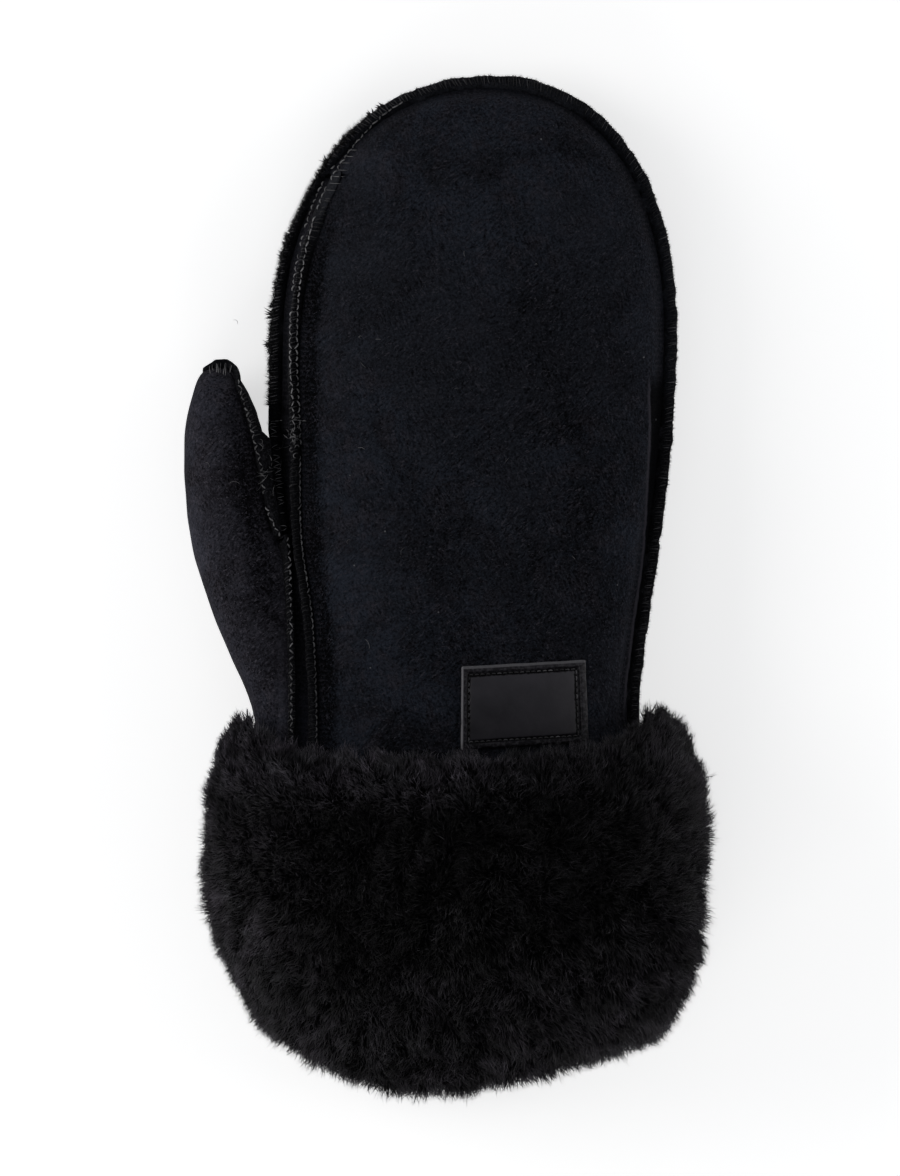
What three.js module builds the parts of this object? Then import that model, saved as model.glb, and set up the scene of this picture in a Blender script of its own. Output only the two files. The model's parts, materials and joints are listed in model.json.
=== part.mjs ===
// A winter mitten of dark suede sheepskin with a turned-back fur cuff, lying palm down.
// Millimetres: +Z up, +Y towards the fingertips, and the thumb on the -X side.
// The origin is the middle of the mitten's footprint, on the surface that it lies on.
// The suede panels are hollow walls that meet at raised seams, as on the real mitten, so a hand
// can enter at the mouth of the cuff and a thumb can turn aside into its own stall.

import * as THREE from 'three';

// Overall sizes
const LENGTH = 270;
const WIDTH = 140.6;
const TIP_Y = LENGTH / 2;
const MOUTH_Y = -LENGTH / 2;
const SIDE_X = WIDTH / 2;

// Walls, seams and the clearance between two pieces
const WALL = 2.6;
const THUMB_WALL = 2.2;
const GAP = 0.3;
const SEAM_REACH = 3.0;
const EDGE_SEAM = { reach: SEAM_REACH, thickness: 2.4, wave: 0.35 };
const INNER_RIDGE = { reach: 2.6, thickness: 1.9, wave: 0.2 };
const THUMB_BASE_RIDGE = { reach: 2.4, thickness: 1.8, wave: 0.25 };
const THUMB_RIDGE = { reach: 1.9, thickness: 1.7, wave: 0.15 };

// The hand: where the rounded fingertips begin, how long they are, and how square each side is
const KNUCKLE_Y = 67;
const DOME_LENGTH = TIP_Y - SEAM_REACH - GAP - KNUCKLE_Y;
const DOME_ROUND = 2.15;
const DOME_LEAN = 3.7;
const DOME_DROP = 1.5;
const DOME_LAST = 0.999;
const TOP_ROUND = 2.4;
const PALM_ROUND = 3;
const PRESSED = 1.2;

// Small angles that keep the strip, the palm and the thumb clear of each other, edge to edge
const STRIP_EDGE = 0.012;
const PALM_EDGE = 0.012;

// Where the panels end inside the cuff, where the seams go in under the fur, the two ends of the
// upper strip, and the thumb's crotch: the leathers part at its top and reach the palm at its foot
const PANEL_END_Y = -121;
const SEAM_END_Y = -43.2;
const EDGE_SEAM_END_Y = -35.5;
const STRIP_TOP_Y = 108;
const STRIP_JOINT_Y = 40;
const CROTCH_TOP_Y = 14;
const CROTCH_FOOT_Y = 8;

// Cross-sections of the hand below the knuckles: its reach to each side, the height of the side
// seam, and its highest and lowest points.
const HAND = [
  { y: -121, left: -50.0, right: 48.0, seam: 32.0, top: 49.0, bottom: 15.0 },
  { y: -49, left: -50.0, right: 48.0, seam: 32.0, top: 49.0, bottom: 15.0 },
  { y: -34, left: -49.6, right: 47.0, seam: 28.0, top: 47.5, bottom: 10.0 },
  { y: -15, left: -48.0, right: 48.9, seam: 21.5, top: 43.5, bottom: 3.0 },
  { y: 0, left: -46.8, right: 51.0, seam: 17.0, top: 40.5, bottom: 0 },
  { y: 20, left: -45.5, right: 53.8, seam: 14.2, top: 38.0, bottom: 0 },
  { y: 42, left: -44.5, right: 56.2, seam: 13.0, top: 36.0, bottom: 0 },
  { y: 67, left: -44.0, right: 57.3, seam: 12.5, top: 34.5, bottom: 0 },
];

// The raised seam between the back of the hand and the side strip, and the valley that it pulls
// in beside it.
const INNER_SEAM = [
  { y: -121, x: -35.5, valley: 0 },
  { y: -55, x: -35.5, valley: 0 },
  { y: -32, x: -35.3, valley: 4.0 },
  { y: -9, x: -36.4, valley: 4.5 },
  { y: 13, x: -39.3, valley: 4.0 },
  { y: 38, x: -39.6, valley: 3.0 },
  { y: 56, x: -40.2, valley: 2.6 },
  { y: 68, x: -39.9, valley: 2.4 },
  { y: 80, x: -38.4, valley: 2.2 },
  { y: 92, x: -35.6, valley: 2.0 },
  { y: 108, x: -28.6, valley: 1.2 },
  { y: 131, x: 0, valley: 0 },
];
const VALLEY_REACH = 4.6;
const VALLEY_SHIFT = -1.4;

// The seam on the thumb's side of the strip. It leaves the edge of the hand above the thumb and
// climbs onto the top of the wrist.
const OUTER_SEAM = [
  { y: -121, x: -41.5 },
  { y: -17, x: -41.3 },
  { y: -4, x: -41.5 },
  { y: 7, x: -41.8 },
  { y: 12, x: -42.3 },
  { y: 22, x: -43.6 },
  { y: 31, x: -44.3 },
  { y: 38, x: -44.6 },
];
const EDGE_SEAM_Y = 46;

// The seam under the thumb, where its leather meets the palm
const UNDER_SEAM_X = -42;

// Rows of a panel's grid closer than this to a corner of its edge are left out
const ROW_CLEAR = 2.2;
const WRIST_STEPS = 3;
const PALM_STEPS = 12;
const DOME_STEPS = 9;

// Soft dents in the back of the hand
const DENTS = [
  { x: 54, y: 46, reach: 15, depth: 3.0 },
  { x: 51, y: -8, reach: 13, depth: 1.6 },
  { x: 22, y: 2, reach: 30, depth: 1.4 },
  { x: -16, y: 28, reach: 24, depth: 1.1 },
  { x: 34, y: 88, reach: 26, depth: 1.0 },
  { x: -12, y: 104, reach: 18, depth: 0.9 },
];

// Cross-sections of the thumb: its outer side, its crown, its foot on the surface, and its inner
// side with the seam on its top. Below the crotch it has no inner side and is open to the hand.
const THUMB = [
  { y: -121, left: -50.0, mid: 32.0, crown: 40.0, footX: -46.8, footZ: 23.0, right: -46.4, seamX: -44.9, seamZ: 24.9 },
  { y: -46, left: -50.0, mid: 32.0, crown: 40.0, footX: -46.8, footZ: 23.0, right: -46.4, seamX: -44.9, seamZ: 24.9 },
  { y: -33, left: -51.4, mid: 28.0, crown: 38.6, footX: -47.6, footZ: 17.0, right: -46.4, seamX: -44.9, seamZ: 24.9 },
  { y: -20, left: -57.4, mid: 22.0, crown: 34.6, footX: -50.0, footZ: 8.0, right: -46.4, seamX: -44.9, seamZ: 24.9 },
  { y: -10, left: -61.6, mid: 17.5, crown: 31.6, footX: -53.0, footZ: 2.6, right: -46.4, seamX: -44.9, seamZ: 24.9 },
  { y: 0, left: -65.2, mid: 14.0, crown: 29.6, footX: -55.0, footZ: 0, right: -46.4, seamX: -44.9, seamZ: 24.9 },
  { y: 8, left: -67.4, mid: 12.9, crown: 28.4, footX: -56.0, footZ: 0, right: -46.5, seamX: -44.9, seamZ: 24.9 },
  { y: 14, left: -68.7, mid: 12.6, crown: 27.7, footX: -56.5, footZ: 0, right: -46.8, seamX: -46.2, seamZ: 24.8 },
  { y: 21, left: -69.6, mid: 12.4, crown: 27.0, footX: -57.0, footZ: 0, right: -47.2, seamX: -47.9, seamZ: 23.9 },
  { y: 30, left: -70.2, mid: 12.2, crown: 26.0, footX: -58.0, footZ: 0, right: -48.1, seamX: -49.7, seamZ: 22.6 },
  { y: 38, left: -70.2, mid: 11.8, crown: 24.6, footX: -59.0, footZ: 0, right: -49.0, seamX: -51.2, seamZ: 21.2 },
  { y: 44, left: -69.5, mid: 11.4, crown: 22.8, footX: -60.0, footZ: 0, right: -50.2, seamX: -52.6, seamZ: 19.6 },
  { y: 50, left: -68.2, mid: 11.0, crown: 20.2, footX: -61.0, footZ: 0.9, right: -52.6, seamX: -54.6, seamZ: 17.4 },
  { y: 54.5, left: -66.6, mid: 10.6, crown: 17.0, footX: -61.0, footZ: 3.6, right: -55.2, seamX: -56.8, seamZ: 14.8 },
  { y: 56.8, left: -64.6, mid: 10.4, crown: 13.9, footX: -60.8, footZ: 6.6, right: -57.2, seamX: -58.2, seamZ: 12.6 },
  { y: 57.6, left: -62.2, mid: 10.2, crown: 11.6, footX: -60.8, footZ: 8.9, right: -59.2, seamX: -59.8, seamZ: 11.1 },
];
const THUMB_TIP_ROWS = [50, 52.5, 54.5, 56, 56.9, 57.6];
const THUMB_TIP_Y = THUMB_TIP_ROWS[THUMB_TIP_ROWS.length - 1];
const THUMB_EDGE_X = 0.5;

// The fur cuff: its profile around the wrist, from the edge on the suede, over the pile and round
// the mouth into the opening. Height is how far it stands off the wrist, lift is the share of a
// lock's length that it carries, and rise is the share of the near edge's rise at the two sides.
const CUFF = [
  { y: -48.5, height: 0.6, lift: 0, rise: 0 },
  { y: -45.6, height: 4.6, lift: 0.25, rise: 1 },
  { y: -45.4, height: 9.2, lift: 0.8, rise: 1 },
  { y: -54.0, height: 12.6, lift: 1, rise: 0.8 },
  { y: -64.5, height: 13.4, lift: 1, rise: 0.5 },
  { y: -75.5, height: 13.6, lift: 1, rise: 0.25 },
  { y: -86.5, height: 13.6, lift: 1, rise: 0.1 },
  { y: -97.5, height: 13.4, lift: 1, rise: 0 },
  { y: -108.0, height: 12.6, lift: 1, rise: 0 },
  { y: -118.5, height: 10.2, lift: 1, rise: 0 },
  { y: -127.2, height: 6.0, lift: 1, rise: 0 },
  { y: -130.6, height: 0.6, lift: 0.6, rise: 0 },
  { y: -131.0, height: -3.6, lift: 0, rise: 0 },
  { y: -127.0, height: -5.4, lift: 0, rise: 0 },
  { y: -121.5, height: -5.0, lift: 0, rise: 0 },
  { y: -121.5, height: 0.6, lift: 0, rise: 0 },
];
const CUFF_AROUND = 32;
const CUFF_FIRST_LOCK = 1;
const CUFF_LAST_LOCK = 11;
const CUFF_FULLER = { right: 0.22, left: -0.1 };
const NEAR_EDGE_RISE = { right: 12, left: 7 };
const LOCK_LENGTH = 6.0;
const LOCK_SPREAD = 0.34;
const WRIST_Y = -90;

// The mouth bows out: its sides are drawn back towards the hand
const MOUTH_BOW = 24;
const MOUTH_MIDDLE = 1.5;
const BOW_WIDTH = 67;
const BOW_ROUND = 2.2;
const BOW_START = 60;

// The label, sewn to the back of the hand just above the fur
const LABEL = { x: 20.0, y: -31.2, width: 33.0, height: 21.6, turn: THREE.MathUtils.degToRad(4.2) };
const LABEL_THICKNESS = 1.5;
const LABEL_RIM = 1.6;
const LABEL_GROOVE = 0.7;
const LABEL_GROOVE_DEPTH = 0.5;
const LABEL_RIM_RISE = 0.35;

// Colours and finishes, in linear light
const thumbSuede = new THREE.MeshStandardMaterial({ color: new THREE.Color(0.015, 0.014, 0.018), roughness: 0.95 });
const suede = new THREE.MeshStandardMaterial({ color: new THREE.Color(0.011, 0.012, 0.016), roughness: 0.95 });
const seamEdge = new THREE.MeshStandardMaterial({ color: new THREE.Color(0.006, 0.006, 0.007), roughness: 0.8 });
const fur = new THREE.MeshStandardMaterial({ color: new THREE.Color(0.006, 0.006, 0.007), roughness: 0.7 });
const leather = new THREE.MeshStandardMaterial({ color: new THREE.Color(0.02, 0.019, 0.022), roughness: 0.4 });

// A column of a table at any y between its rows, eased through them
function column(table, key, y) {
  const rows = table[0].y < table[table.length - 1].y ? table : [...table].reverse();
  const last = rows.length - 1;
  if (y <= rows[0].y) return rows[0][key];
  if (y >= rows[last].y) return rows[last][key];
  const i = rows.findIndex((row, n) => y >= row.y && y <= rows[n + 1].y);
  const slope = (n) => {
    const a = rows[Math.max(n - 1, 0)];
    const b = rows[Math.min(n + 1, last)];
    return (b[key] - a[key]) / (b.y - a.y);
  };
  const step = rows[i + 1].y - rows[i].y;
  const t = (y - rows[i].y) / step;
  const flat = rows[i][key] === rows[i + 1][key];
  const m0 = flat ? 0 : slope(i) * step;
  const m1 = flat ? 0 : slope(i + 1) * step;
  const t2 = t * t;
  const t3 = t2 * t;
  return (
    (2 * t3 - 3 * t2 + 1) * rows[i][key] + (t3 - 2 * t2 + t) * m0 +
    (3 * t2 - 2 * t3) * rows[i + 1][key] + (t3 - t2) * m1
  );
}

// A repeatable scatter between -1 and 1 for each pair of whole numbers
function scatter(i, j, channel) {
  const s = Math.sin(i * 127.1 + j * 311.7 + channel * 74.7) * 43758.5453;
  return 2 * (s - Math.floor(s)) - 1;
}

// The hand's cross-section at a given y, with the fingertips rounded off above the knuckles
function handSection(y) {
  if (y <= KNUCKLE_Y) {
    const at = (key) => column(HAND, key, y);
    return { left: at('left'), right: at('right'), seam: at('seam'), top: at('top'), bottom: at('bottom') };
  }
  const base = HAND[HAND.length - 1];
  const t = Math.min((y - KNUCKLE_Y) / DOME_LENGTH, DOME_LAST);
  const narrow = (1 - t ** DOME_ROUND) ** (1 / DOME_ROUND);
  const centre = (base.left + base.right) / 2 + DOME_LEAN * t * t;
  const half = ((base.right - base.left) / 2) * narrow;
  const seam = base.seam - DOME_DROP * t;
  return {
    left: centre - half,
    right: centre + half,
    seam,
    top: seam + (base.top - base.seam) * (1 - t ** TOP_ROUND) ** (1 / TOP_ROUND),
    bottom: seam - base.seam * (1 - t ** PALM_ROUND) ** (1 / PALM_ROUND),
  };
}

// How far the back of the hand is pulled in at a place: the valley beside the seam and the dents
function pulledIn(x, y) {
  const beside = (x - column(INNER_SEAM, 'x', y) - VALLEY_SHIFT) / VALLEY_REACH;
  let depth = column(INNER_SEAM, 'valley', y) * Math.exp(-beside * beside);
  for (const dent of DENTS) {
    const away = ((x - dent.x) ** 2 + (y - dent.y) ** 2) / dent.reach ** 2;
    depth += dent.depth * Math.exp(-away);
  }
  return depth;
}

// A point on the hand's outer surface. The angle runs from the right seam at 0, over the back, to
// the left edge at half a turn. Under the hand it is negative, down to the left edge again at
// minus half a turn, and past that it climbs onto the back.
function handPoint(y, turned) {
  const s = handSection(y);
  const angle = turned < -Math.PI ? turned + 2 * Math.PI : turned;
  const over = angle >= 0;
  const power = 2 / (over ? TOP_ROUND : PALM_ROUND);
  const across = Math.sign(Math.cos(angle)) * Math.abs(Math.cos(angle)) ** power;
  const away = Math.abs(Math.sin(angle)) ** power;
  const x = (s.left + s.right) / 2 + ((s.right - s.left) / 2) * across;
  const sunk = over ? pulledIn(x, y) * away : 0;
  const z = over ? s.seam + (s.top - s.seam) * away - sunk : s.seam - (s.seam - s.bottom + PRESSED) * away;
  return new THREE.Vector3(x, y, Math.max(z, s.bottom, 0));
}

// The angle at which the section at y reaches a given x, above or below the seam
function angleAt(y, x, over = true) {
  const s = handSection(y);
  const u = THREE.MathUtils.clamp((x - (s.left + s.right) / 2) / ((s.right - s.left) / 2), -1, 1);
  const c = Math.sign(u) * Math.abs(u) ** ((over ? TOP_ROUND : PALM_ROUND) / 2);
  return over ? Math.acos(c) : -Math.acos(c);
}

// The small angle that keeps a panel's edge half a gap clear of the side seam
function edgeAngle(y, over = true) {
  const s = handSection(y);
  const rise = over ? s.top - s.seam : s.seam - s.bottom + PRESSED;
  return Math.asin(Math.min(1, (GAP / 2 / rise) ** ((over ? TOP_ROUND : PALM_ROUND) / 2)));
}

// The angle of the seam between the strip and the palm or the thumb
function outerSeamAngle(y) {
  if (y >= EDGE_SEAM_Y) return Math.PI;
  const x = y > OUTER_SEAM[OUTER_SEAM.length - 1].y
    ? THREE.MathUtils.mapLinear(y, OUTER_SEAM[OUTER_SEAM.length - 1].y, EDGE_SEAM_Y,
        OUTER_SEAM[OUTER_SEAM.length - 1].x, handSection(EDGE_SEAM_Y).left)
    : column(OUTER_SEAM, 'x', y);
  return angleAt(y, x);
}

const innerSeamAngle = (y) => angleAt(y, column(INNER_SEAM, 'x', y));

// The outward direction of the hand's surface at a place
function handNormal(y, turned) {
  const angle = turned < -Math.PI ? turned + 2 * Math.PI : turned;
  const d = 0.02;
  const e = 0.5;
  const low = Math.max(angle - d, angle >= 0 ? 0 : -Math.PI);
  const high = Math.min(angle + d, angle >= 0 ? Math.PI : 0);
  const across = handPoint(y, high).sub(handPoint(y, low));
  const top = KNUCKLE_Y + DOME_LENGTH * DOME_LAST;
  const along = handPoint(Math.min(y + e, top), angle).sub(handPoint(y - e, angle));
  return along.cross(across).normalize();
}

// Turns rows of points into triangles between them
function stitchRows(rows, closed, flip, index, tris) {
  const count = rows[0].length;
  for (let i = 0; i + 1 < rows.length; i++) {
    for (let j = 0; j < (closed ? count : count - 1); j++) {
      const a = index(rows[i][j]);
      const b = index(rows[i][(j + 1) % count]);
      const c = index(rows[i + 1][(j + 1) % count]);
      const d = index(rows[i + 1][j]);
      tris.push(...(flip ? [a, c, b, a, d, c] : [a, b, c, a, c, d]));
    }
  }
}

// Collects points and triangles, and makes a geometry whose faces point out of the solid
function geometryFrom(fill) {
  const positions = [];
  const known = new Map();
  const index = (point) => {
    if (!known.has(point)) {
      known.set(point, positions.length / 3);
      positions.push(point.x, point.y, point.z);
    }
    return known.get(point);
  };
  const tris = [];
  fill(index, tris);
  const volume = tris.reduce((sum, _, n) => {
    if (n % 3) return sum;
    const [a, b, c] = [0, 1, 2].map((k) => new THREE.Vector3().fromArray(positions, tris[n + k] * 3));
    return sum + a.dot(b.cross(c));
  }, 0);
  if (volume < 0) tris.reverse();
  const geometry = new THREE.BufferGeometry();
  geometry.setAttribute('position', new THREE.Float32BufferAttribute(positions, 3));
  geometry.setIndex(tris);
  geometry.computeVertexNormals();
  return geometry;
}

// The outward direction at each point of a grid, from its neighbours
function gridFacing(grid) {
  const last = grid.length - 1;
  return (i, j) => {
    const row = grid[i];
    const along = grid[Math.min(i + 1, last)][j].clone().sub(grid[Math.max(i - 1, 0)][j]);
    const across = row[Math.min(j + 1, row.length - 1)].clone().sub(row[Math.max(j - 1, 0)]);
    return along.cross(across).normalize();
  };
}

// A closed solid between two grids of the same size, one over the other
function shell(outer, inner) {
  const last = outer.length - 1;
  const end = outer[0].length - 1;
  const side = (grid, j) => grid.map((row) => row[j]);
  return geometryFrom((index, tris) => {
    stitchRows(outer, false, false, index, tris);
    stitchRows(inner, false, true, index, tris);
    stitchRows([outer[0], inner[0]], false, true, index, tris);
    stitchRows([outer[last], inner[last]], false, false, index, tris);
    stitchRows([side(outer, 0), side(inner, 0)], false, false, index, tris);
    stitchRows([side(outer, end), side(inner, end)], false, true, index, tris);
  });
}

// A wall: a grid of outer points, and the same grid set in by a thickness and held clear of its
// neighbours. Rows follow each other towards the fingertips, and points run anticlockwise seen
// from the mouth.
function wall(outer, thickness, hold, facing) {
  const inner = outer.map((row, i) => row.map((p, j) => hold(p.clone().addScaledVector(facing(i, j), -thickness))));
  return shell(outer, inner);
}

// Evenly spread values from a to b, drawn towards both ends where ease is above 0
function spread(a, b, steps, ease = 0) {
  return Array.from({ length: steps + 1 }, (_, n) => {
    const t = n / steps;
    const eased = (1 - Math.cos(Math.PI * t)) / 2;
    return a + (b - a) * (t * (1 - ease) + eased * ease);
  });
}

// The y of each row of the hand, shared by all its panels so that their edges match: even along
// the palm, closer over the fingertips, with a row wherever a panel's edge turns a corner
const CORNERS = [HAND[1].y, CROTCH_FOOT_Y, 11, CROTCH_TOP_Y, STRIP_JOINT_Y, EDGE_SEAM_Y, STRIP_TOP_Y, STRIP_TOP_Y + 1];
const ROWS = (() => {
  const turns = spread(0, Math.PI / 2, DOME_STEPS).slice(1);
  const dome = turns.map((turn) => KNUCKLE_Y + DOME_LENGTH * Math.min(Math.sin(turn), DOME_LAST));
  const even = [...spread(PANEL_END_Y, HAND[1].y, WRIST_STEPS), ...spread(HAND[1].y, KNUCKLE_Y, PALM_STEPS).slice(1)];
  const free = [...even, ...dome].filter((y) => CORNERS.every((corner) => Math.abs(corner - y) > ROW_CLEAR));
  return [...free, ...CORNERS].sort((a, b) => a - b);
})();
const rowsBetween = (low, high) => [low, ...ROWS.filter((y) => y > low + 0.5 && y < high - 0.5), high];

// A panel of the hand between two angles that change with y. Its inner face stays on its own side
// of the side seam.
function handPanel(rows, fromAngle, toAngle, steps, ease, hold) {
  const angles = rows.map((y) => spread(fromAngle(y), toAngle(y), steps, ease));
  const grid = rows.map((y, i) => angles[i].map((angle) => handPoint(y, angle)));
  return wall(grid, WALL, hold, (i, j) => handNormal(rows[i], angles[i][j]));
}

// A seam allowance's section, in shares of its reach and thickness
const RIDGE_SECTION = [
  { up: 0, aside: -0.25 }, { up: 0.35, aside: -0.5 }, { up: 1, aside: -0.32 },
  { up: 1, aside: 0.32 }, { up: 0.35, aside: 0.5 }, { up: 0, aside: 0.25 },
];

const RIDGE_PITCH = 3.1;

// The seam allowance that stands out of the surface: a flat ridge along a path of points, each
// with the direction it stands in. It waves a little, as an overcast leather edge does.
function ridge(path, { reach, thickness, wave }) {
  const rings = path.map(({ point, out }, n) => {
    const ahead = path[Math.min(n + 1, path.length - 1)].point.clone().sub(path[Math.max(n - 1, 0)].point);
    const side = ahead.cross(out).normalize();
    const sway = wave * Math.sin(n * RIDGE_PITCH) + 0.4 * wave * Math.sin(n * 1.7 * RIDGE_PITCH);
    const height = reach * (1 + 0.06 * Math.sin(n * 2.3));
    return RIDGE_SECTION.map(({ up, aside }) => point.clone().addScaledVector(out, GAP + up * height)
      .addScaledVector(side, aside * thickness + sway * up));
  });
  return loft(rings);
}

// A solid through closed rings of points, capped at both ends
function loft(rings) {
  return geometryFrom((index, tris) => {
    stitchRows(rings, true, false, index, tris);
    for (const [ring, flip] of [[rings[0], true], [rings[rings.length - 1], false]]) {
      for (let j = 1; j + 1 < ring.length; j++) {
        const [a, b, c] = [index(ring[0]), index(ring[j]), index(ring[j + 1])];
        tris.push(...(flip ? [a, c, b] : [a, b, c]));
      }
    }
  });
}

// The angle where the palm ends on the thumb's side. Above the crotch it climbs the edge of the
// hand to the strip, and below the crotch it stays under the hand.
function palmEndAngle(y) {
  if (y >= EDGE_SEAM_Y) return -Math.PI + edgeAngle(y, false);
  const climbed = outerSeamAngle(y) - 2 * Math.PI + STRIP_EDGE;
  const share = THREE.MathUtils.smoothstep(y, CROTCH_FOOT_Y, CROTCH_TOP_Y);
  return THREE.MathUtils.lerp(angleAt(y, UNDER_SEAM_X, false), climbed, share);
}

// How far the thumb is open to the hand: 0 above the crotch and 1 below it
const thumbOpen = (y) => 1 - THREE.MathUtils.smoothstep(y, CROTCH_FOOT_Y, CROTCH_TOP_Y);

// The thumb's cross-section at a given y, from the seam on its top, over its outer side and along
// the surface, to where its leather ends
function thumbSection(y, steps) {
  const at = (key) => column(THUMB, key, y);
  const flat = (x, z) => new THREE.Vector3(x, y, z);
  const open = thumbOpen(y);
  const seam = flat(at('seamX'), at('seamZ'));
  const hand = Math.min(y, CROTCH_TOP_Y);
  const strip = handPoint(hand, angleAt(hand, column(OUTER_SEAM, 'x', hand) - GAP)).setY(y);
  const start = seam.clone().lerp(strip, open);
  const tubeEnd = seam.clone().add(new THREE.Vector3(THUMB_EDGE_X, 0, -GAP));
  const palm = handPoint(hand, palmEndAngle(hand) - PALM_EDGE).setY(y);
  const end = y >= CROTCH_TOP_Y ? tubeEnd : palm;
  const [left, mid, footX] = [at('left'), at('mid'), at('footX')];
  const foot = Math.max(at('footZ'), 0);
  const arch = (at('crown') - 0.125 * (start.z + mid)) / 0.75;
  const over = new THREE.CubicBezierCurve3(
    start, flat(start.x - 0.15 * (start.x - left), arch), flat(left, arch), flat(left, mid));
  const under = new THREE.CubicBezierCurve3(
    flat(left, mid), flat(left, mid - 0.8 * (mid - foot)), flat(footX - 0.4 * (footX - left), foot), flat(footX, foot));
  const bulge = (at('right') - 0.125 * (footX + end.x)) / 0.75;
  const straight = (share) => flat(footX, foot).lerp(end, share);
  const inward = new THREE.CubicBezierCurve3(
    flat(footX, foot), flat(bulge, foot).lerp(straight(1 / 3), open), flat(bulge, end.z).lerp(straight(2 / 3), open), end);
  return [over, under, inward].flatMap((curve, n) => curve.getSpacedPoints(steps[n]).slice(n ? 1 : 0));
}

// A point that stands a given height off the suede of the wrist
function wristPoint(y, turn, height) {
  const angle = turn <= Math.PI ? turn : turn - 2 * Math.PI;
  const fuller = Math.abs(Math.cos(turn)) * (Math.cos(turn) > 0 ? CUFF_FULLER.right : CUFF_FULLER.left);
  const off = height > 1 ? height * (1 + fuller) : height;
  return handPoint(WRIST_Y, angle).addScaledVector(handNormal(WRIST_Y, angle), off).setY(y);
}

const aboveSeam = (p) => p.setZ(Math.max(p.z, handSection(p.y).seam + GAP / 2));
const belowSeam = (p) => {
  const sideOfThumb = p.x < 0 && p.y < EDGE_SEAM_Y;
  return sideOfThumb ? p : p.setZ(Math.min(p.z, handSection(p.y).seam - GAP / 2));
};

function backPanel() {
  const left = (y) => (y <= STRIP_TOP_Y ? angleAt(y, column(INNER_SEAM, 'x', y) + GAP) : Math.PI - edgeAngle(y));
  return handPanel(ROWS, (y) => edgeAngle(y), left, 13, 0.5, aboveSeam);
}

function palmPanel() {
  return handPanel(ROWS, palmEndAngle, (y) => -edgeAngle(y, false), 11, 0.4, belowSeam);
}

function sideStrip(fromY, toY) {
  return handPanel(rowsBetween(fromY, toY), (y) => angleAt(y, column(INNER_SEAM, 'x', y) - GAP), (y) => {
    const seam = outerSeamAngle(y);
    return y >= EDGE_SEAM_Y ? seam - edgeAngle(y) : seam - STRIP_EDGE;
  }, 2, 0, aboveSeam);
}

function thumb() {
  const rows = [
    ...rowsBetween(PANEL_END_Y, CROTCH_TOP_Y),
    ...spread(CROTCH_TOP_Y, THUMB_TIP_ROWS[0], 8).slice(1),
    ...THUMB_TIP_ROWS.slice(1),
  ];
  const grid = rows.map((y) => thumbSection(y, [6, 5, 5]));
  const own = gridFacing(grid);
  const last = grid[0].length - 1;
  // Where the thumb is open to the hand, its two edges face the way their neighbours do
  const facing = (i, j) => {
    const y = rows[i];
    if (y >= CROTCH_TOP_Y || (j > 0 && j < last)) return own(i, j);
    const angle = j ? palmEndAngle(y) : outerSeamAngle(y);
    return own(i, j).lerp(handNormal(y, angle), thumbOpen(y)).normalize();
  };
  return wall(grid, THUMB_WALL, (p) => p.setZ(Math.max(p.z, 0)), facing);
}

// A list of rows with one more in the middle of each step
const halved = (rows) => rows.flatMap((y, n) => (n ? [(rows[n - 1] + y) / 2, y] : [y]));

// The place and direction of a seam on the hand, at the angle it runs along
function onHand(y, angle) {
  return { point: handPoint(y, angle), out: handNormal(y, angle) };
}

function edgeSeam() {
  const flatOut = ({ point, out }) => ({ point, out: new THREE.Vector3(out.x, out.y, 0).normalize() });
  const alongEdge = (low, angle) => halved(rowsBetween(low, ROWS[ROWS.length - 1])).map((y) => onHand(y, angle(y)));
  const right = alongEdge(EDGE_SEAM_END_Y, () => 0).map(flatOut);
  const left = alongEdge(EDGE_SEAM_Y, () => Math.PI).reverse().map(flatOut);
  const end = right[right.length - 1].point.clone().lerp(left[0].point, 0.5);
  const tip = { point: end, out: new THREE.Vector3(0, 1, 0) };
  const climbing = rowsBetween(CROTCH_TOP_Y, EDGE_SEAM_Y).reverse().slice(1).map((y) => onHand(y, outerSeamAngle(y)));
  return ridge([...right, tip, ...left, ...climbing], EDGE_SEAM);
}

function innerSeam() {
  const path = halved(rowsBetween(SEAM_END_Y, STRIP_TOP_Y - SEAM_REACH)).map((y) => onHand(y, innerSeamAngle(y)));
  return ridge(path, INNER_RIDGE);
}

function thumbBaseSeam() {
  const path = halved(rowsBetween(SEAM_END_Y, CROTCH_FOOT_Y + 1)).map((y) => onHand(y, outerSeamAngle(y)));
  return ridge(path, THUMB_BASE_RIDGE);
}

function thumbSeam() {
  const up = new THREE.Vector3(0.1, 0.25, 1).normalize();
  const onTop = spread(53, CROTCH_TOP_Y + 2, 14).map((y) => ({
    point: new THREE.Vector3(column(THUMB, 'seamX', y) + THUMB_EDGE_X / 2, y, column(THUMB, 'seamZ', y)),
    out: up,
  }));
  const [left, right] = [column(THUMB, 'left', 56) + 1, column(THUMB, 'right', 56)];
  const tipZ = column(THUMB, 'mid', THUMB_TIP_Y);
  const tip = spread(left, right - 1, 4).map((x) => ({
    point: new THREE.Vector3(x, THUMB_TIP_Y, tipZ),
    out: new THREE.Vector3(0, 1, 0.1).normalize(),
  }));
  const corner = [{
    point: new THREE.Vector3(right + 0.6, THUMB_TIP_Y - 1.6, tipZ + 2),
    out: new THREE.Vector3(0.7, 0.6, 0.5).normalize(),
  }];
  return ridge([...tip, ...corner, ...onTop], THUMB_RIDGE);
}

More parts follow.
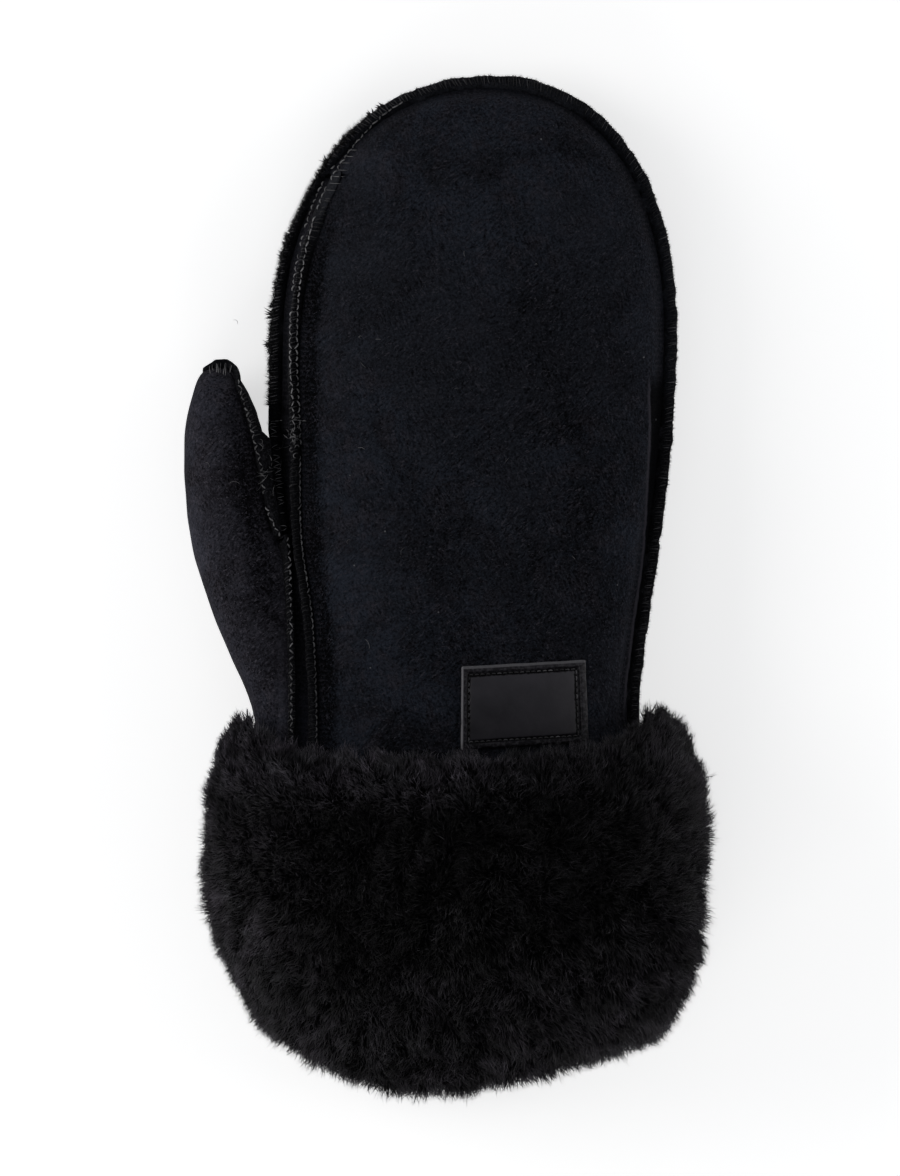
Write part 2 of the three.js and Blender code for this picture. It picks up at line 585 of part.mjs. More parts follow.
// The label is a plate that follows the back of the hand, with a raised rim and a sewing groove
function label() {
  const inset = [0, LABEL_RIM, LABEL_RIM + LABEL_GROOVE / 2, LABEL_RIM + LABEL_GROOVE];
  const places = (size, middle) => {
    const ends = inset.map((n) => n - size / 2);
    return [...ends, ...spread(ends[3], -ends[3], middle).slice(1, -1), ...ends.map((n) => -n).reverse()];
  };
  const us = places(LABEL.width, 5);
  const vs = places(LABEL.height, 4);
  const stop = (n, count) => Math.min(n, count - 1 - n);
  const heightAt = (i, j) => {
    const ring = Math.min(stop(i, us.length), stop(j, vs.length));
    if (ring <= 1) return LABEL_THICKNESS + LABEL_RIM_RISE * (ring === 1 ? 1 : 0.6);
    return ring === 2 ? LABEL_THICKNESS - LABEL_GROOVE_DEPTH : LABEL_THICKNESS;
  };
  const place = (u, v, height) => {
    const x = LABEL.x + u * Math.cos(LABEL.turn) - v * Math.sin(LABEL.turn);
    const y = LABEL.y + u * Math.sin(LABEL.turn) + v * Math.cos(LABEL.turn);
    const angle = angleAt(y, x);
    return handPoint(y, angle).addScaledVector(handNormal(y, angle), height);
  };
  const lift = 2 * GAP;
  const top = us.map((u, i) => vs.map((v, j) => place(u, v, lift + heightAt(i, j))));
  const under = us.map((u) => vs.map((v) => place(u, v, lift)));
  return shell(top, under);
}

// Keeps a point of the fur on the surface and within the mitten's length and width
function settle(p) {
  p.set(THREE.MathUtils.clamp(p.x, -SIDE_X, SIDE_X), Math.max(p.y, MOUTH_Y), Math.max(p.z, 0));
  return p;
}

// The fur cuff: a thick ring round the wrist whose pile is fused to it as rows of pointed locks
function cuff() {
  const inPile = (k) => k >= CUFF_FIRST_LOCK && k <= CUFF_LAST_LOCK;
  const onTop = (turn) => THREE.MathUtils.smoothstep(Math.sin(turn), -0.5, 0);
  const most = (turn) => (Math.cos(turn) > 0 ? NEAR_EDGE_RISE.right : NEAR_EDGE_RISE.left);
  const rise = (turn) => most(turn) * Math.abs(Math.cos(turn)) ** 3 * onTop(turn);
  const grid = CUFF.map((row, k) => Array.from({ length: CUFF_AROUND }, (_, i) => {
    const loose = inPile(k) ? 1 : 0;
    const turn = (2 * Math.PI * (i + loose * 0.22 * scatter(i, k, 1))) / CUFF_AROUND;
    const turned = (turn + 2 * Math.PI) % (2 * Math.PI);
    const y = row.y + row.rise * rise(turn) + loose * 1.3 * scatter(i, k, 2);
    return settle(wristPoint(y, turned, row.height + loose * 0.7 * scatter(i, k, 3)));
  }));
  return geometryFrom((index, tris) => {
    for (let k = 0; k < grid.length; k++) {
      const next = (k + 1) % grid.length;
      for (let i = 0; i < CUFF_AROUND; i++) {
        const j = (i + 1) % CUFF_AROUND;
        const corners = [grid[k][i], grid[k][j], grid[next][j], grid[next][i]];
        if (inPile(k) && inPile(next)) {
          lock(corners, k, i, index, tris);
          continue;
        }
        const [a, b, c, d] = corners.map(index);
        tris.push(a, b, c, a, c, d);
      }
    }
  });
}

// One lock: four sides that draw in to a waist and then to a leaning point. Where it meets the
// surface that the mitten lies on, it is pressed flat.
function lock(corners, k, i, index, tris) {
  const middle = (points) => points.reduce((sum, p) => sum.add(p), new THREE.Vector3()).divideScalar(points.length);
  const centre = middle(corners);
  const out = corners[2].clone().sub(corners[0]).cross(corners[3].clone().sub(corners[1])).normalize();
  const lift = (CUFF[k].lift + CUFF[(k + 1) % CUFF.length].lift) / 2;
  const length = LOCK_LENGTH * lift * (1 + 0.22 * scatter(i, k, 4));
  const away = THREE.MathUtils.mapLinear(centre.y, CUFF[1].y, CUFF[CUFF_LAST_LOCK].y, 0.55, -0.75);
  const lean = new THREE.Vector3(0.35 * scatter(i, k, 5), away + 0.25 * scatter(i, k, 6), 0.35 * scatter(i, k, 7));
  const waist = corners.map((p) => settle(p.clone().lerp(centre, LOCK_SPREAD)
    .addScaledVector(out, 0.62 * length).addScaledVector(lean, 0.3 * length)));
  const free = centre.clone().addScaledVector(out, length).addScaledVector(lean, 0.75 * length);
  const point = free.z > 0 ? settle(free) : settle(middle(waist));
  for (let n = 0; n < corners.length; n++) {
    const m = (n + 1) % corners.length;
    const [a, b, c, d] = [corners[n], corners[m], waist[m], waist[n]].map(index);
    tris.push(a, b, c, a, c, d, d, c, index(point));
  }
}

// Draws the sides of the mouth back towards the hand, on whatever piece reaches it
function bow(geometry) {
  const position = geometry.attributes.position;
  for (let n = 0; n < position.count; n++) {
    const [x, y] = [position.getX(n), position.getY(n)];
    const side = Math.abs(x - MOUTH_MIDDLE) / BOW_WIDTH;
    const share = THREE.MathUtils.smoothstep(-y, BOW_START, -PANEL_END_Y);
    position.setY(n, y + MOUTH_BOW * side ** BOW_ROUND * share);
  }
  geometry.computeVertexNormals();
  return geometry;
}

// The assembly
const mitten = new THREE.Group();
mitten.name = 'mitten';

function add(name, geometry, material) {
  const mesh = new THREE.Mesh(bow(geometry), material);
  mesh.name = name;
  mitten.add(mesh);
}

add('back_panel', backPanel(), suede);
add('palm_panel', palmPanel(), suede);
add('side_strip_upper', sideStrip(STRIP_JOINT_Y + GAP, STRIP_TOP_Y - GAP), suede);
add('side_strip_lower', sideStrip(PANEL_END_Y, STRIP_JOINT_Y), suede);
add('thumb', thumb(), thumbSuede);
add('edge_seam', edgeSeam(), seamEdge);
add('inner_seam', innerSeam(), seamEdge);
add('thumb_base_seam', thumbBaseSeam(), seamEdge);
add('thumb_seam', thumbSeam(), seamEdge);
add('label', label(), leather);
add('fur_cuff', cuff(), fur);

export default mitten;
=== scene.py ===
# %% [markdown]
# # A suede mitten with a fur cuff
#
# A winter mitten lies palm down and is seen from straight above. Its leather is suede outside and
# wool inside, its edges are whipped together with thread, its wool cuff is turned back over the
# wrist, and a bare leather label sits on the back of the hand. The leather and the fur are
# modelled over the solids of the frame, so that each piece sits exactly where the mitten's plan
# says. Lengths in the tables are in millimetres, and MM turns them into Blender's metres.

# %% Tools and the frame
import json
import math

import bmesh
import bpy
import numpy as np
from mathutils import Matrix, Vector, kdtree, noise
from mathutils.bvhtree import BVHTree

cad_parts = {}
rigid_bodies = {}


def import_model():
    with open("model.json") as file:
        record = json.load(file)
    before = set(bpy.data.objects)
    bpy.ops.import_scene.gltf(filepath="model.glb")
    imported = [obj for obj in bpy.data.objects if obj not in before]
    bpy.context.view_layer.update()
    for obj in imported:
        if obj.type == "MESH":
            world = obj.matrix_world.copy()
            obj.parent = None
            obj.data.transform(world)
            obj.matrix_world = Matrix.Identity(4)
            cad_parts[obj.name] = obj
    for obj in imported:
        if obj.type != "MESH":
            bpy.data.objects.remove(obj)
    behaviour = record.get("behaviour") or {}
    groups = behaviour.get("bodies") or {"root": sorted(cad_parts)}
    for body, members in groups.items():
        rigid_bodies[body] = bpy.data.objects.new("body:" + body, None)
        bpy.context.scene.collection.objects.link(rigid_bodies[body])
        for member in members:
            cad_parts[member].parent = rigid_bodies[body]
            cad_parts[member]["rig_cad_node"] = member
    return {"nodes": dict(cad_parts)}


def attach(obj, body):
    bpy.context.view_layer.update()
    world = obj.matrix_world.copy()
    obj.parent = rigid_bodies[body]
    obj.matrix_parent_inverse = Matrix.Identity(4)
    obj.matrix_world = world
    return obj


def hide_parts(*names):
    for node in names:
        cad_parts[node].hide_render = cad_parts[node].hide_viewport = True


MM = 0.001
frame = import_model()
scene = bpy.context.scene
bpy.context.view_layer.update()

# %% [markdown]
# ## Where the camera stands
#
# The photograph looks straight down with the fingertips at the top of the picture. A long lens far
# away makes sides that run straight down, and an orthographic camera is the limit of that. One
# pixel of the picture is 0.2647 mm, and the picture is 900 by 1176 pixels.

# %% Camera
PIXEL = 0.2647
PICTURE = (900, 1176)
ORIGIN_PIXEL = (448.5, 585.0)
EYE_HEIGHT = 1.6

eye = bpy.data.cameras.new("overhead_eye")
eye.type = "ORTHO"
eye.ortho_scale = PICTURE[1] * PIXEL * MM
eye.clip_end = 10
camera = bpy.data.objects.new("overhead_camera", eye)
camera.location = (
    (PICTURE[0] / 2 - ORIGIN_PIXEL[0]) * PIXEL * MM,
    (ORIGIN_PIXEL[1] - PICTURE[1] / 2) * PIXEL * MM,
    EYE_HEIGHT,
)
scene.collection.objects.link(camera)
scene.camera = camera
print("picture height, mm:", round(eye.ortho_scale / MM, 1))

# %% [markdown]
# ## Light
#
# The photograph is a studio picture on white. Black suede only shows its nap when the light is
# wide and comes from the side, so that flanks are lighter than what faces the camera. A large
# lamp stands low on the left, weaker ones on the right and beyond the cuff, and the world fills
# the rest. The view is Standard, because a filmic one would lift the blacks of this mitten.

# %% Lights and the view
LAMP_COLOUR = (1.0, 0.985, 0.97)
AIR_COLOUR, AIR_STRENGTH = (0.93, 0.96, 1.0, 1.0), 0.24
scene.view_settings.view_transform = "Standard"
scene.view_settings.look = "None"


def soft_light(name, place, side, power):
    lamp = bpy.data.lights.new(name, "AREA")
    lamp.shape = "SQUARE"
    lamp.size = side
    lamp.energy = power
    lamp.color = LAMP_COLOUR
    piece = bpy.data.objects.new(name, lamp)
    piece.location = place
    piece.rotation_mode = "QUATERNION"
    piece.rotation_quaternion = (-Vector(place)).to_track_quat("-Z", "Y")
    piece.visible_camera = False
    scene.collection.objects.link(piece)


soft_light("left_light", (-1.0, 0.20, 0.55), 0.7, 4.4)
soft_light("right_light", (1.0, 0.05, 0.50), 0.7, 2.6)
soft_light("near_light", (-0.40, -1.02, 0.34), 0.8, 4.6)

sky = bpy.data.worlds.new("studio_air")
sky.use_nodes = True
air = sky.node_tree.nodes["Background"].inputs
air["Color"].default_value = AIR_COLOUR
air["Strength"].default_value = AIR_STRENGTH
scene.world = sky

# %% [markdown]
# ## Writing materials as expressions
#
# A finish is a tree of shader nodes. Adding each node by hand is long, so a Wire stands for one
# output socket, and `wire * 2 + other` adds the Math nodes. Every other node comes from
# `Finish.node`, which takes its type, then its settings, then what goes into its sockets.

# %% Wires and finishes


class Wire:
    """One output of a node, on which arithmetic adds Math nodes."""

    def __init__(self, finish, socket):
        self.finish = finish
        self.socket = socket

    def maths(self, operation, first, second=0.0, clamp=False):
        settings = {"operation": operation, "use_clamp": clamp}
        return self.finish.node("ShaderNodeMath", settings, {0: first, 1: second})

    def __add__(self, other):
        return self.maths("ADD", self, other)

    def __sub__(self, other):
        return self.maths("SUBTRACT", self, other)

    def __rsub__(self, other):
        return self.maths("SUBTRACT", other, self)

    def __mul__(self, other):
        return self.maths("MULTIPLY", self, other)

    def __neg__(self):
        return self.maths("MULTIPLY", self, -1.0)

    __radd__ = __add__
    __rmul__ = __mul__

    def clamped(self):
        return self.maths("ADD", self, 0.0, True)

    def at_least(self, other):
        return self.maths("MAXIMUM", self, other)

    def sine(self):
        return self.maths("SINE", self)

    def above(self, level, soft):
        """0 below the level and 1 past it, with a soft edge that wide."""
        return ((self - (level - soft / 2)) * (1 / soft)).clamped()


class Finish:
    """A procedural material that is written as expressions."""

    def __init__(self, name):
        self.material = bpy.data.materials.new(name)
        self.material.use_nodes = True
        self.tree = self.material.node_tree
        self.tree.nodes.clear()

    def node(self, kind, settings=None, sockets=None, output=0):
        made = self.tree.nodes.new(kind)
        for key, value in (settings or {}).items():
            setattr(made, key, value)
        for key, value in (sockets or {}).items():
            if isinstance(value, Wire):
                self.tree.links.new(value.socket, made.inputs[key])
            else:
                made.inputs[key].default_value = value
        return Wire(self, made.outputs[output]) if made.outputs else None

    def place(self):
        """Where a point is on the mitten, in metres."""
        return self.node("ShaderNodeTexCoord", None, None, "Object")

    def stretched(self, along, turn=0.0):
        """Places turned about the upright and stretched, so that a pattern runs one way."""
        sockets = {"Vector": self.place(), "Rotation": (0, 0, turn), "Scale": along}
        return self.node("ShaderNodeMapping", {"vector_type": "TEXTURE"}, sockets)

    def picture_place(self):
        """How far right and how far up the picture a point is, in millimetres."""
        at = self.place()
        return [self.node("ShaderNodeSeparateXYZ", None, {0: at}, axis) * (1 / MM) for axis in "XY"]

    def strand(self):
        """The number of its own that a tube has, and the place along it, from its UV map."""
        held = self.node("ShaderNodeUVMap", {"uv_map": "strand"})
        return [self.node("ShaderNodeSeparateXYZ", None, {0: held}, axis) for axis in "XY"]

    def noise(self, size, detail=3.0, rough=0.55, at=None, warp=0.0):
        """Cloudy noise whose lumps are about this many millimetres wide."""
        sockets = {"Vector": at or self.place(), "Scale": 1 / (size * MM), "Detail": detail}
        sockets.update({"Roughness": rough, "Distortion": warp})
        return self.node("ShaderNodeTexNoise", None, sockets)

    def cells(self, size, feature="F1", at=None):
        """Distance to scattered points that are about this many millimetres apart."""
        sockets = {"Vector": at or self.place(), "Scale": 1 / (size * MM)}
        return self.node("ShaderNodeTexVoronoi", {"feature": feature}, sockets)

    def attribute(self, name):
        return self.node("ShaderNodeAttribute", {"attribute_name": name}, None, "Fac")

    def mix(self, share, first, second, blend="MIX"):
        """One colour turning into another."""
        settings = {"data_type": "RGBA", "blend_type": blend}
        colours = [c if isinstance(c, Wire) else (*c, 1.0) for c in (first, second)]
        return self.node("ShaderNodeMix", settings, {0: share, 6: colours[0], 7: colours[1]}, 2)

    def grey(self, value):
        """A colour made of one value three times."""
        return self.node("ShaderNodeCombineColor", None, {0: value, 1: value, 2: value})

    def shaded(self, colour, value):
        """A colour made darker or lighter by a value."""
        return self.mix(1.0, colour, self.grey(value), "MULTIPLY")

    def bump(self, height, millimetres):
        sockets = {"Height": height, "Distance": millimetres * MM, "Strength": 1.0}
        return self.node("ShaderNodeBump", None, sockets)

    def surface(self, colour, roughness, normal, constants):
        """Closes the tree with one Principled shader."""
        sockets = {"Base Color": colour, "Roughness": roughness, **constants}
        if normal:
            sockets["Normal"] = normal
        shader = self.node("ShaderNodeBsdfPrincipled", None, sockets)
        self.node("ShaderNodeOutputMaterial", None, {"Surface": shader})
        return self.material


def scaled(colour, share):
    """A constant colour made darker or lighter."""
    return tuple(share * c for c in colour)


print("one Wire and one Finish class")

# %% [markdown]
# ## The floor
#
# The mitten lies on white paper that is itself lit to white, as in a catalogue. A little light of
# its own keeps the paper white while the lamps stay soft enough for black leather.

# %% Floor
PAPER_HALF_SIDE, PAPER_GAP, PAPER_GLOW = 4.0, 0.0002, 0.62
paper = Finish("white_paper")
paper_sockets = {
    "Base Color": paper.mix(paper.noise(60), (0.80, 0.80, 0.80), (0.83, 0.83, 0.83)),
    "Roughness": 0.9,
    "Emission Color": (1, 1, 1, 1),
    "Emission Strength": PAPER_GLOW,
}
paper_shader = paper.node("ShaderNodeBsdfPrincipled", None, paper_sockets)
paper.node("ShaderNodeOutputMaterial", None, {"Surface": paper_shader})

floor_mesh = bpy.data.meshes.new("paper")
sheet = bmesh.new()
bmesh.ops.create_grid(sheet, x_segments=1, y_segments=1, size=PAPER_HALF_SIDE)
sheet.to_mesh(floor_mesh)
sheet.free()
floor = bpy.data.objects.new("paper", floor_mesh)
floor_mesh.transform(Matrix.Translation((0, 0, -PAPER_GAP)))
floor_mesh.materials.append(paper.material)
scene.collection.objects.link(floor)
print("floor side, m:", round(floor.dimensions.x, 1))

# %% [markdown]
# ## The mitten's plan, again
#
# Stitches and hairs need to know where each seam runs. These are the same few cross-sections and
# seam lines that the solids were made from: how far the hand reaches to each side at a given
# height of the picture, and how high its side seam stands. An eased curve runs through them.

# %% Cross-sections and seam lines
HAND_Y = (-121, -49, -34, -15, 0, 20, 42, 67)
HAND_LEFT = (-50, -50, -49.6, -48, -46.8, -45.5, -44.5, -44)
HAND_RIGHT = (48, 48, 47, 48.9, 51, 53.8, 56.2, 57.3)
HAND_SEAM = (32, 32, 28, 21.5, 17, 14.2, 13, 12.5)
HAND_TOP = (49, 49, 47.5, 43.5, 40.5, 38, 36, 34.5)
DOME_LENGTH, DOME_ROUND, DOME_LEAN, TOP_ROUND = 64.7, 2.15, 3.7, 2.4

INNER_Y = (-121, -55, -32, -9, 13, 38, 56, 68, 80, 92, 108, 131)
INNER_X = (-35.5, -35.5, -35.3, -36.4, -39.3, -39.6, -40.2, -39.9, -38.4, -35.6, -28.6, 0)
OUTER_Y = (-121, -17, -4, 7, 12, 22, 31, 38, 46)
OUTER_X = (-41.5, -41.3, -41.5, -41.8, -42.3, -43.6, -44.3, -44.6, -44.4)
VALLEY = (0, 0, 4.0, 4.5, 4.0, 3.0, 2.6, 2.4, 2.2, 2.0, 1.2, 0)
DENTS = (
    (54, 46, 15, 3.0), (51, -8, 13, 1.6), (22, 2, 30, 1.4),
    (-16, 28, 24, 1.1), (34, 88, 26, 1.0), (-12, 104, 18, 0.9),
)
THUMB_SEAM_Y = (14, 21, 30, 38, 44, 50, 54.5)
THUMB_SEAM_X = (-46.2, -47.9, -49.7, -51.2, -52.6, -54.6, -56.8)
STATION_STEP = 0.9


def ramped(value, start, end):
    """0 on the start's side, 1 past the end, and even between them."""
    return np.clip((value - start) / (end - start), 0.0, 1.0)


def eased(ys, values, y):
    """A smooth curve through a table, as the plan draws it."""
    y = min(max(y, ys[0]), ys[-1])
    i = min(int(np.searchsorted(ys, y, "right")) - 1, len(ys) - 2)

    def slope(n):
        a, b = max(n - 1, 0), min(n + 1, len(ys) - 1)
        return (values[b] - values[a]) / (ys[b] - ys[a])

    step = ys[i + 1] - ys[i]
    t = (y - ys[i]) / step
    flat = values[i] == values[i + 1]
    m0, m1 = (0, 0) if flat else (slope(i) * step, slope(i + 1) * step)
    start = (2 * t**3 - 3 * t**2 + 1) * values[i] + (t**3 - 2 * t**2 + t) * m0
    return start + (3 * t**2 - 2 * t**3) * values[i + 1] + (t**3 - t**2) * m1


def hand_section(y):
    """Left reach, right reach, seam height and top of the hand at y, in millimetres."""
    if y <= HAND_Y[-1]:
        return [eased(HAND_Y, column, y) for column in (HAND_LEFT, HAND_RIGHT, HAND_SEAM, HAND_TOP)]
    t = min((y - HAND_Y[-1]) / DOME_LENGTH, 0.999)
    half = (HAND_RIGHT[-1] - HAND_LEFT[-1]) / 2 * (1 - t**DOME_ROUND) ** (1 / DOME_ROUND)
    middle = (HAND_RIGHT[-1] + HAND_LEFT[-1]) / 2 + DOME_LEAN * t * t
    seam = HAND_SEAM[-1] - 1.5 * t
    top = seam + (HAND_TOP[-1] - HAND_SEAM[-1]) * (1 - t**TOP_ROUND) ** (1 / TOP_ROUND)
    return [middle - half, middle + half, seam, top]


def back_height(x, y):
    """How high the back of the hand stands at a place, and how far in from the edge that is."""
    left, right, seam, top = hand_section(y)
    across = (x - (left + right) / 2) / ((right - left) / 2)
    if abs(across) > 0.97:
        return None, abs(across)
    rise = (1 - abs(across) ** TOP_ROUND) ** (1 / TOP_ROUND)
    beside = (x - eased(INNER_Y, INNER_X, y) + 1.4) / 4.6
    sunk = eased(INNER_Y, VALLEY, y) * math.exp(-beside * beside)
    for dent_x, dent_y, reach, depth in DENTS:
        sunk += depth * math.exp(-((x - dent_x) ** 2 + (y - dent_y) ** 2) / reach**2)
    return seam + (top - seam - sunk) * rise, abs(across)


def edge_line():
    """Stations up the right edge, over the fingertips and down the left edge, every 0.9 mm."""
    turns = np.linspace(0, math.pi / 2, 60)[1:]
    ys = [*np.arange(-36, 67, 2.0), *(67 + DOME_LENGTH * np.sin(turns))]
    right = [(hand_section(y)[1], y, hand_section(y)[2]) for y in ys]
    left = [(hand_section(y)[0], y, hand_section(y)[2]) for y in ys if y > 46]
    return along_line(right + left[::-1], STATION_STEP)


def along_line(points, step):
    """Even stations along a line: where each is, which way the line runs, and how far along."""
    points = np.array(points, float)
    gone = np.concatenate([[0], np.cumsum(np.linalg.norm(np.diff(points, axis=0), axis=1))])
    marks = np.arange(step / 2, gone[-1], step)
    at = np.stack([np.interp(marks, gone, points[:, k]) for k in range(3)], 1)
    ahead = np.gradient(at, axis=0)
    return at, ahead / np.linalg.norm(ahead, axis=1)[:, None], marks


edge_at, edge_ahead, edge_gone = edge_line()
print("edge seam, mm:", round(float(edge_gone[-1])), "stations:", len(edge_at))

# %% [markdown]
# ## Suede
#
# Suede is the flesh side of the skin, brushed up to a short nap. Where the nap lies over it turns
# from blue-black to a warmer grey in soft clouds, short fibres show as flecks, and a few specks of
# lint sit on it. Towards a seam the leather rolls under, with painted shade there, and its thread
# pulls it into short lines with painted highlights. Along the lower right edge it is folded, with a
# painted highlight on its crest beside a strip of painted shade. The clouds, the grain and the
# flecks are noise on Object coordinates, so that they have the right size in millimetres. Four
# attributes of each panel say the rest: how near the seam is, how far along it, where painted light
# and nap brushed pale make it lighter, and where painted shade darkens a hollow.

# %% Suede finish


CLOUD_SIZES = {"patch": 46, "clouds": 24, "drift": 6.5, "dabs": 4.2, "dots": 2.6}


def clouded(f, at, dark, cool, warm):
    """Soft clouds of three tones, and the three broad noises in them."""
    clouds = f.noise(CLOUD_SIZES["clouds"], 4, 0.62, at, warp=0.5)
    drift = f.noise(CLOUD_SIZES["drift"], 4, 0.62, at, warp=0.8)
    patch = f.noise(CLOUD_SIZES["patch"], 2, 0.5, at)
    dabs = f.noise(CLOUD_SIZES["dabs"], 3, 0.6, at, warp=0.6)
    dots = f.noise(CLOUD_SIZES["dots"], 2, 0.6, warp=0.5)
    colour = f.mix(clouds.above(0.50, 0.15), dark, cool)
    colour = f.mix(drift.above(0.55, 0.12) * 0.62, colour, warm)
    colour = f.mix(dabs.above(0.56, 0.1) * 0.5, colour, cool)
    colour = f.mix(dots.above(0.6, 0.1) * 0.35, colour, warm)
    colour = f.mix(patch.above(0.55, 0.14) * 0.75, colour, dark)
    return colour, clouds, drift, patch


def beside_seams(f, colour, grain, drift, dark, pale):
    """Leather near a seam: rolled under, pulled in lines, folded at the lower right, in painted
    shade and highlights.
    """
    away = f.attribute("seam_away")
    # Painted shade: the leather is darkened where it rolls under towards a seam.
    painted_seam_shade = 1 - away.above(1.7, 1.8)
    colour = f.mix(painted_seam_shade * 0.5, colour, scaled(dark, 0.40))
    band = away.above(0.6, 0.8) * (1 - away.above(3.0, 2.4))
    pull = (f.attribute("seam_along") * 4.6 + grain * 16).sine()
    # Painted highlights on the short lines that the thread pulls into the leather.
    painted_pleat_light = pull.above(0.55, 0.6) * band * grain.above(0.5, 0.2)
    colour = f.mix(painted_pleat_light * 0.55, colour, pale)
    across, up = f.picture_place()
    fold = ((up - 5) * (1 / 47)).clamped() * 3.0 + 0.3 + (drift - 0.5) * 0.8
    folded = across.above(30, 4) * (1 - up.above(54, 5)) * up.above(-32, 8)
    # Painted shade: a dark strip beside the fold along the lower right edge.
    colour = f.mix((1 - away.above(fold, 0.5)) * folded * 0.92, colour, scaled(dark, 0.2))
    # A painted highlight along the fold's crest.
    painted_crest_highlight = away.above(fold + 0.05, 0.3) * (1 - away.above(fold + 0.6, 0.5))
    colour = f.mix(painted_crest_highlight * folded * 0.8, colour, pale)
    return colour, pull * band


print("sizes of the clouds, mm:", CLOUD_SIZES)

# %% Suedes of the four panels
GRAIN_SIZE, NAP_SIZE, TICK_SIZE = 0.66, 0.60, 0.55
LINT_TONE = (0.16, 0.16, 0.17)


def suede(name, dark, cool, warm, seed):
    """Brushed leather: three soft tones in clouds, strokes of nap, grain and lint."""
    f = Finish(name)
    shift = {"Vector": f.place(), "Location": (seed, seed * 0.7, 0)}
    at = f.node("ShaderNodeMapping", None, shift)
    colour, clouds, drift, patch = clouded(f, at, dark, cool, warm)
    grain = f.noise(GRAIN_SIZE, 4, 0.75)
    rising = f.noise(NAP_SIZE, 3, 0.62, f.stretched((1.0, 3.4, 1.0), -0.75), warp=0.4)
    falling = f.noise(NAP_SIZE, 3, 0.62, f.stretched((1.0, 3.0, 1.0), 0.45), warp=0.4)
    swept = f.noise(13, 2, 0.5, at).above(0.5, 0.16)
    nap = rising * (1 - swept) + falling * swept
    shade = 1 + (grain - 0.5) * 4.9 + (nap - 0.5) * 3.2
    shade = shade + (clouds - 0.5) * 1.3 + (patch - 0.5) * 0.8
    # Painted light and brushed nap make it lighter, painted shade darker in hollows and beside a
    # seam.
    shade = shade + f.attribute("lit_and_worn") * 0.55 - f.attribute("hollow_shade") * 0.72
    colour = f.shaded(colour, shade.at_least(0.12))
    tick = f.noise(TICK_SIZE, 2, 0.5, f.stretched((2.2, 0.9, 1.0), 0.35), warp=1.3)
    stroke = (nap.above(0.64, 0.06) * grain.above(0.5, 0.1)).at_least(tick.above(0.665, 0.04))
    pale = tuple(2.4 * c + 0.003 for c in warm)
    colour = f.mix(stroke * 0.85, colour, pale)
    pit = (1 - tick.above(0.30, 0.06)) * 0.6
    colour = f.mix(pit, colour, scaled(dark, 0.3))
    colour, pulled = beside_seams(f, colour, grain, drift, dark, pale)
    dust = (1 - f.cells(6.5, at=at).above(0.034, 0.02)) * f.noise(8, 1).above(0.5, 0.05)
    colour = f.mix(dust * 0.8, colour, LINT_TONE)
    height = grain * 0.5 + nap * 1.2 + pulled * 0.25
    rough = 0.85 + grain * 0.14
    return f.surface(colour, rough, f.bump(height, 0.28), {"Specular IOR Level": 0.02})


back_suede = suede(
    "brushed_back",
    (0.0086, 0.0094, 0.0122), (0.0120, 0.0142, 0.0198), (0.0156, 0.0146, 0.0184),
    0.0,
)
palm_suede = suede(
    "brushed_palm",
    (0.0070, 0.0078, 0.0106), (0.0106, 0.0126, 0.0186), (0.0142, 0.0130, 0.0170),
    0.37,
)
strip_suede = suede(
    "brushed_strip",
    (0.0052, 0.0054, 0.0068), (0.0080, 0.0086, 0.0118), (0.0122, 0.0114, 0.0140),
    0.61,
)
thumb_suede = suede(
    "brushed_thumb",
    (0.0130, 0.0124, 0.0156), (0.0215, 0.0220, 0.0290), (0.0275, 0.0255, 0.0315),
    0.83,
)
print("suedes:", [m.name for m in (back_suede, palm_suede, strip_suede, thumb_suede)])

# %% [markdown]
# ## Cut edges, thread, label leather and wool
#
# The seams are two cut edges with wool fibres between them, so they are darker and rougher than
# the suede, which folds a little way over them; painted shade darkens them on the lower right and
# on the left round the thumb. Thread is twisted, so its bump runs round it, and painted highlights
# lighten its stitches. The label is smooth leather with a low gloss and fine pores. Two attributes
# say where a point is on it, so that the finish can draw its worn frame, the painted light on its
# left and upper edges and on the top of its face, and the black painted shade in its groove. Each
# hair of the wool carries its own tone and its place from root to tip in its UV map: the roots are
# nearly black, and painted light makes the tips lighter.

# %% Edge, thread and leather finishes
LABEL_AT, LABEL_SIZE, LABEL_TURN = (20.0, -31.2), (33.0, 21.6), math.radians(4.2)


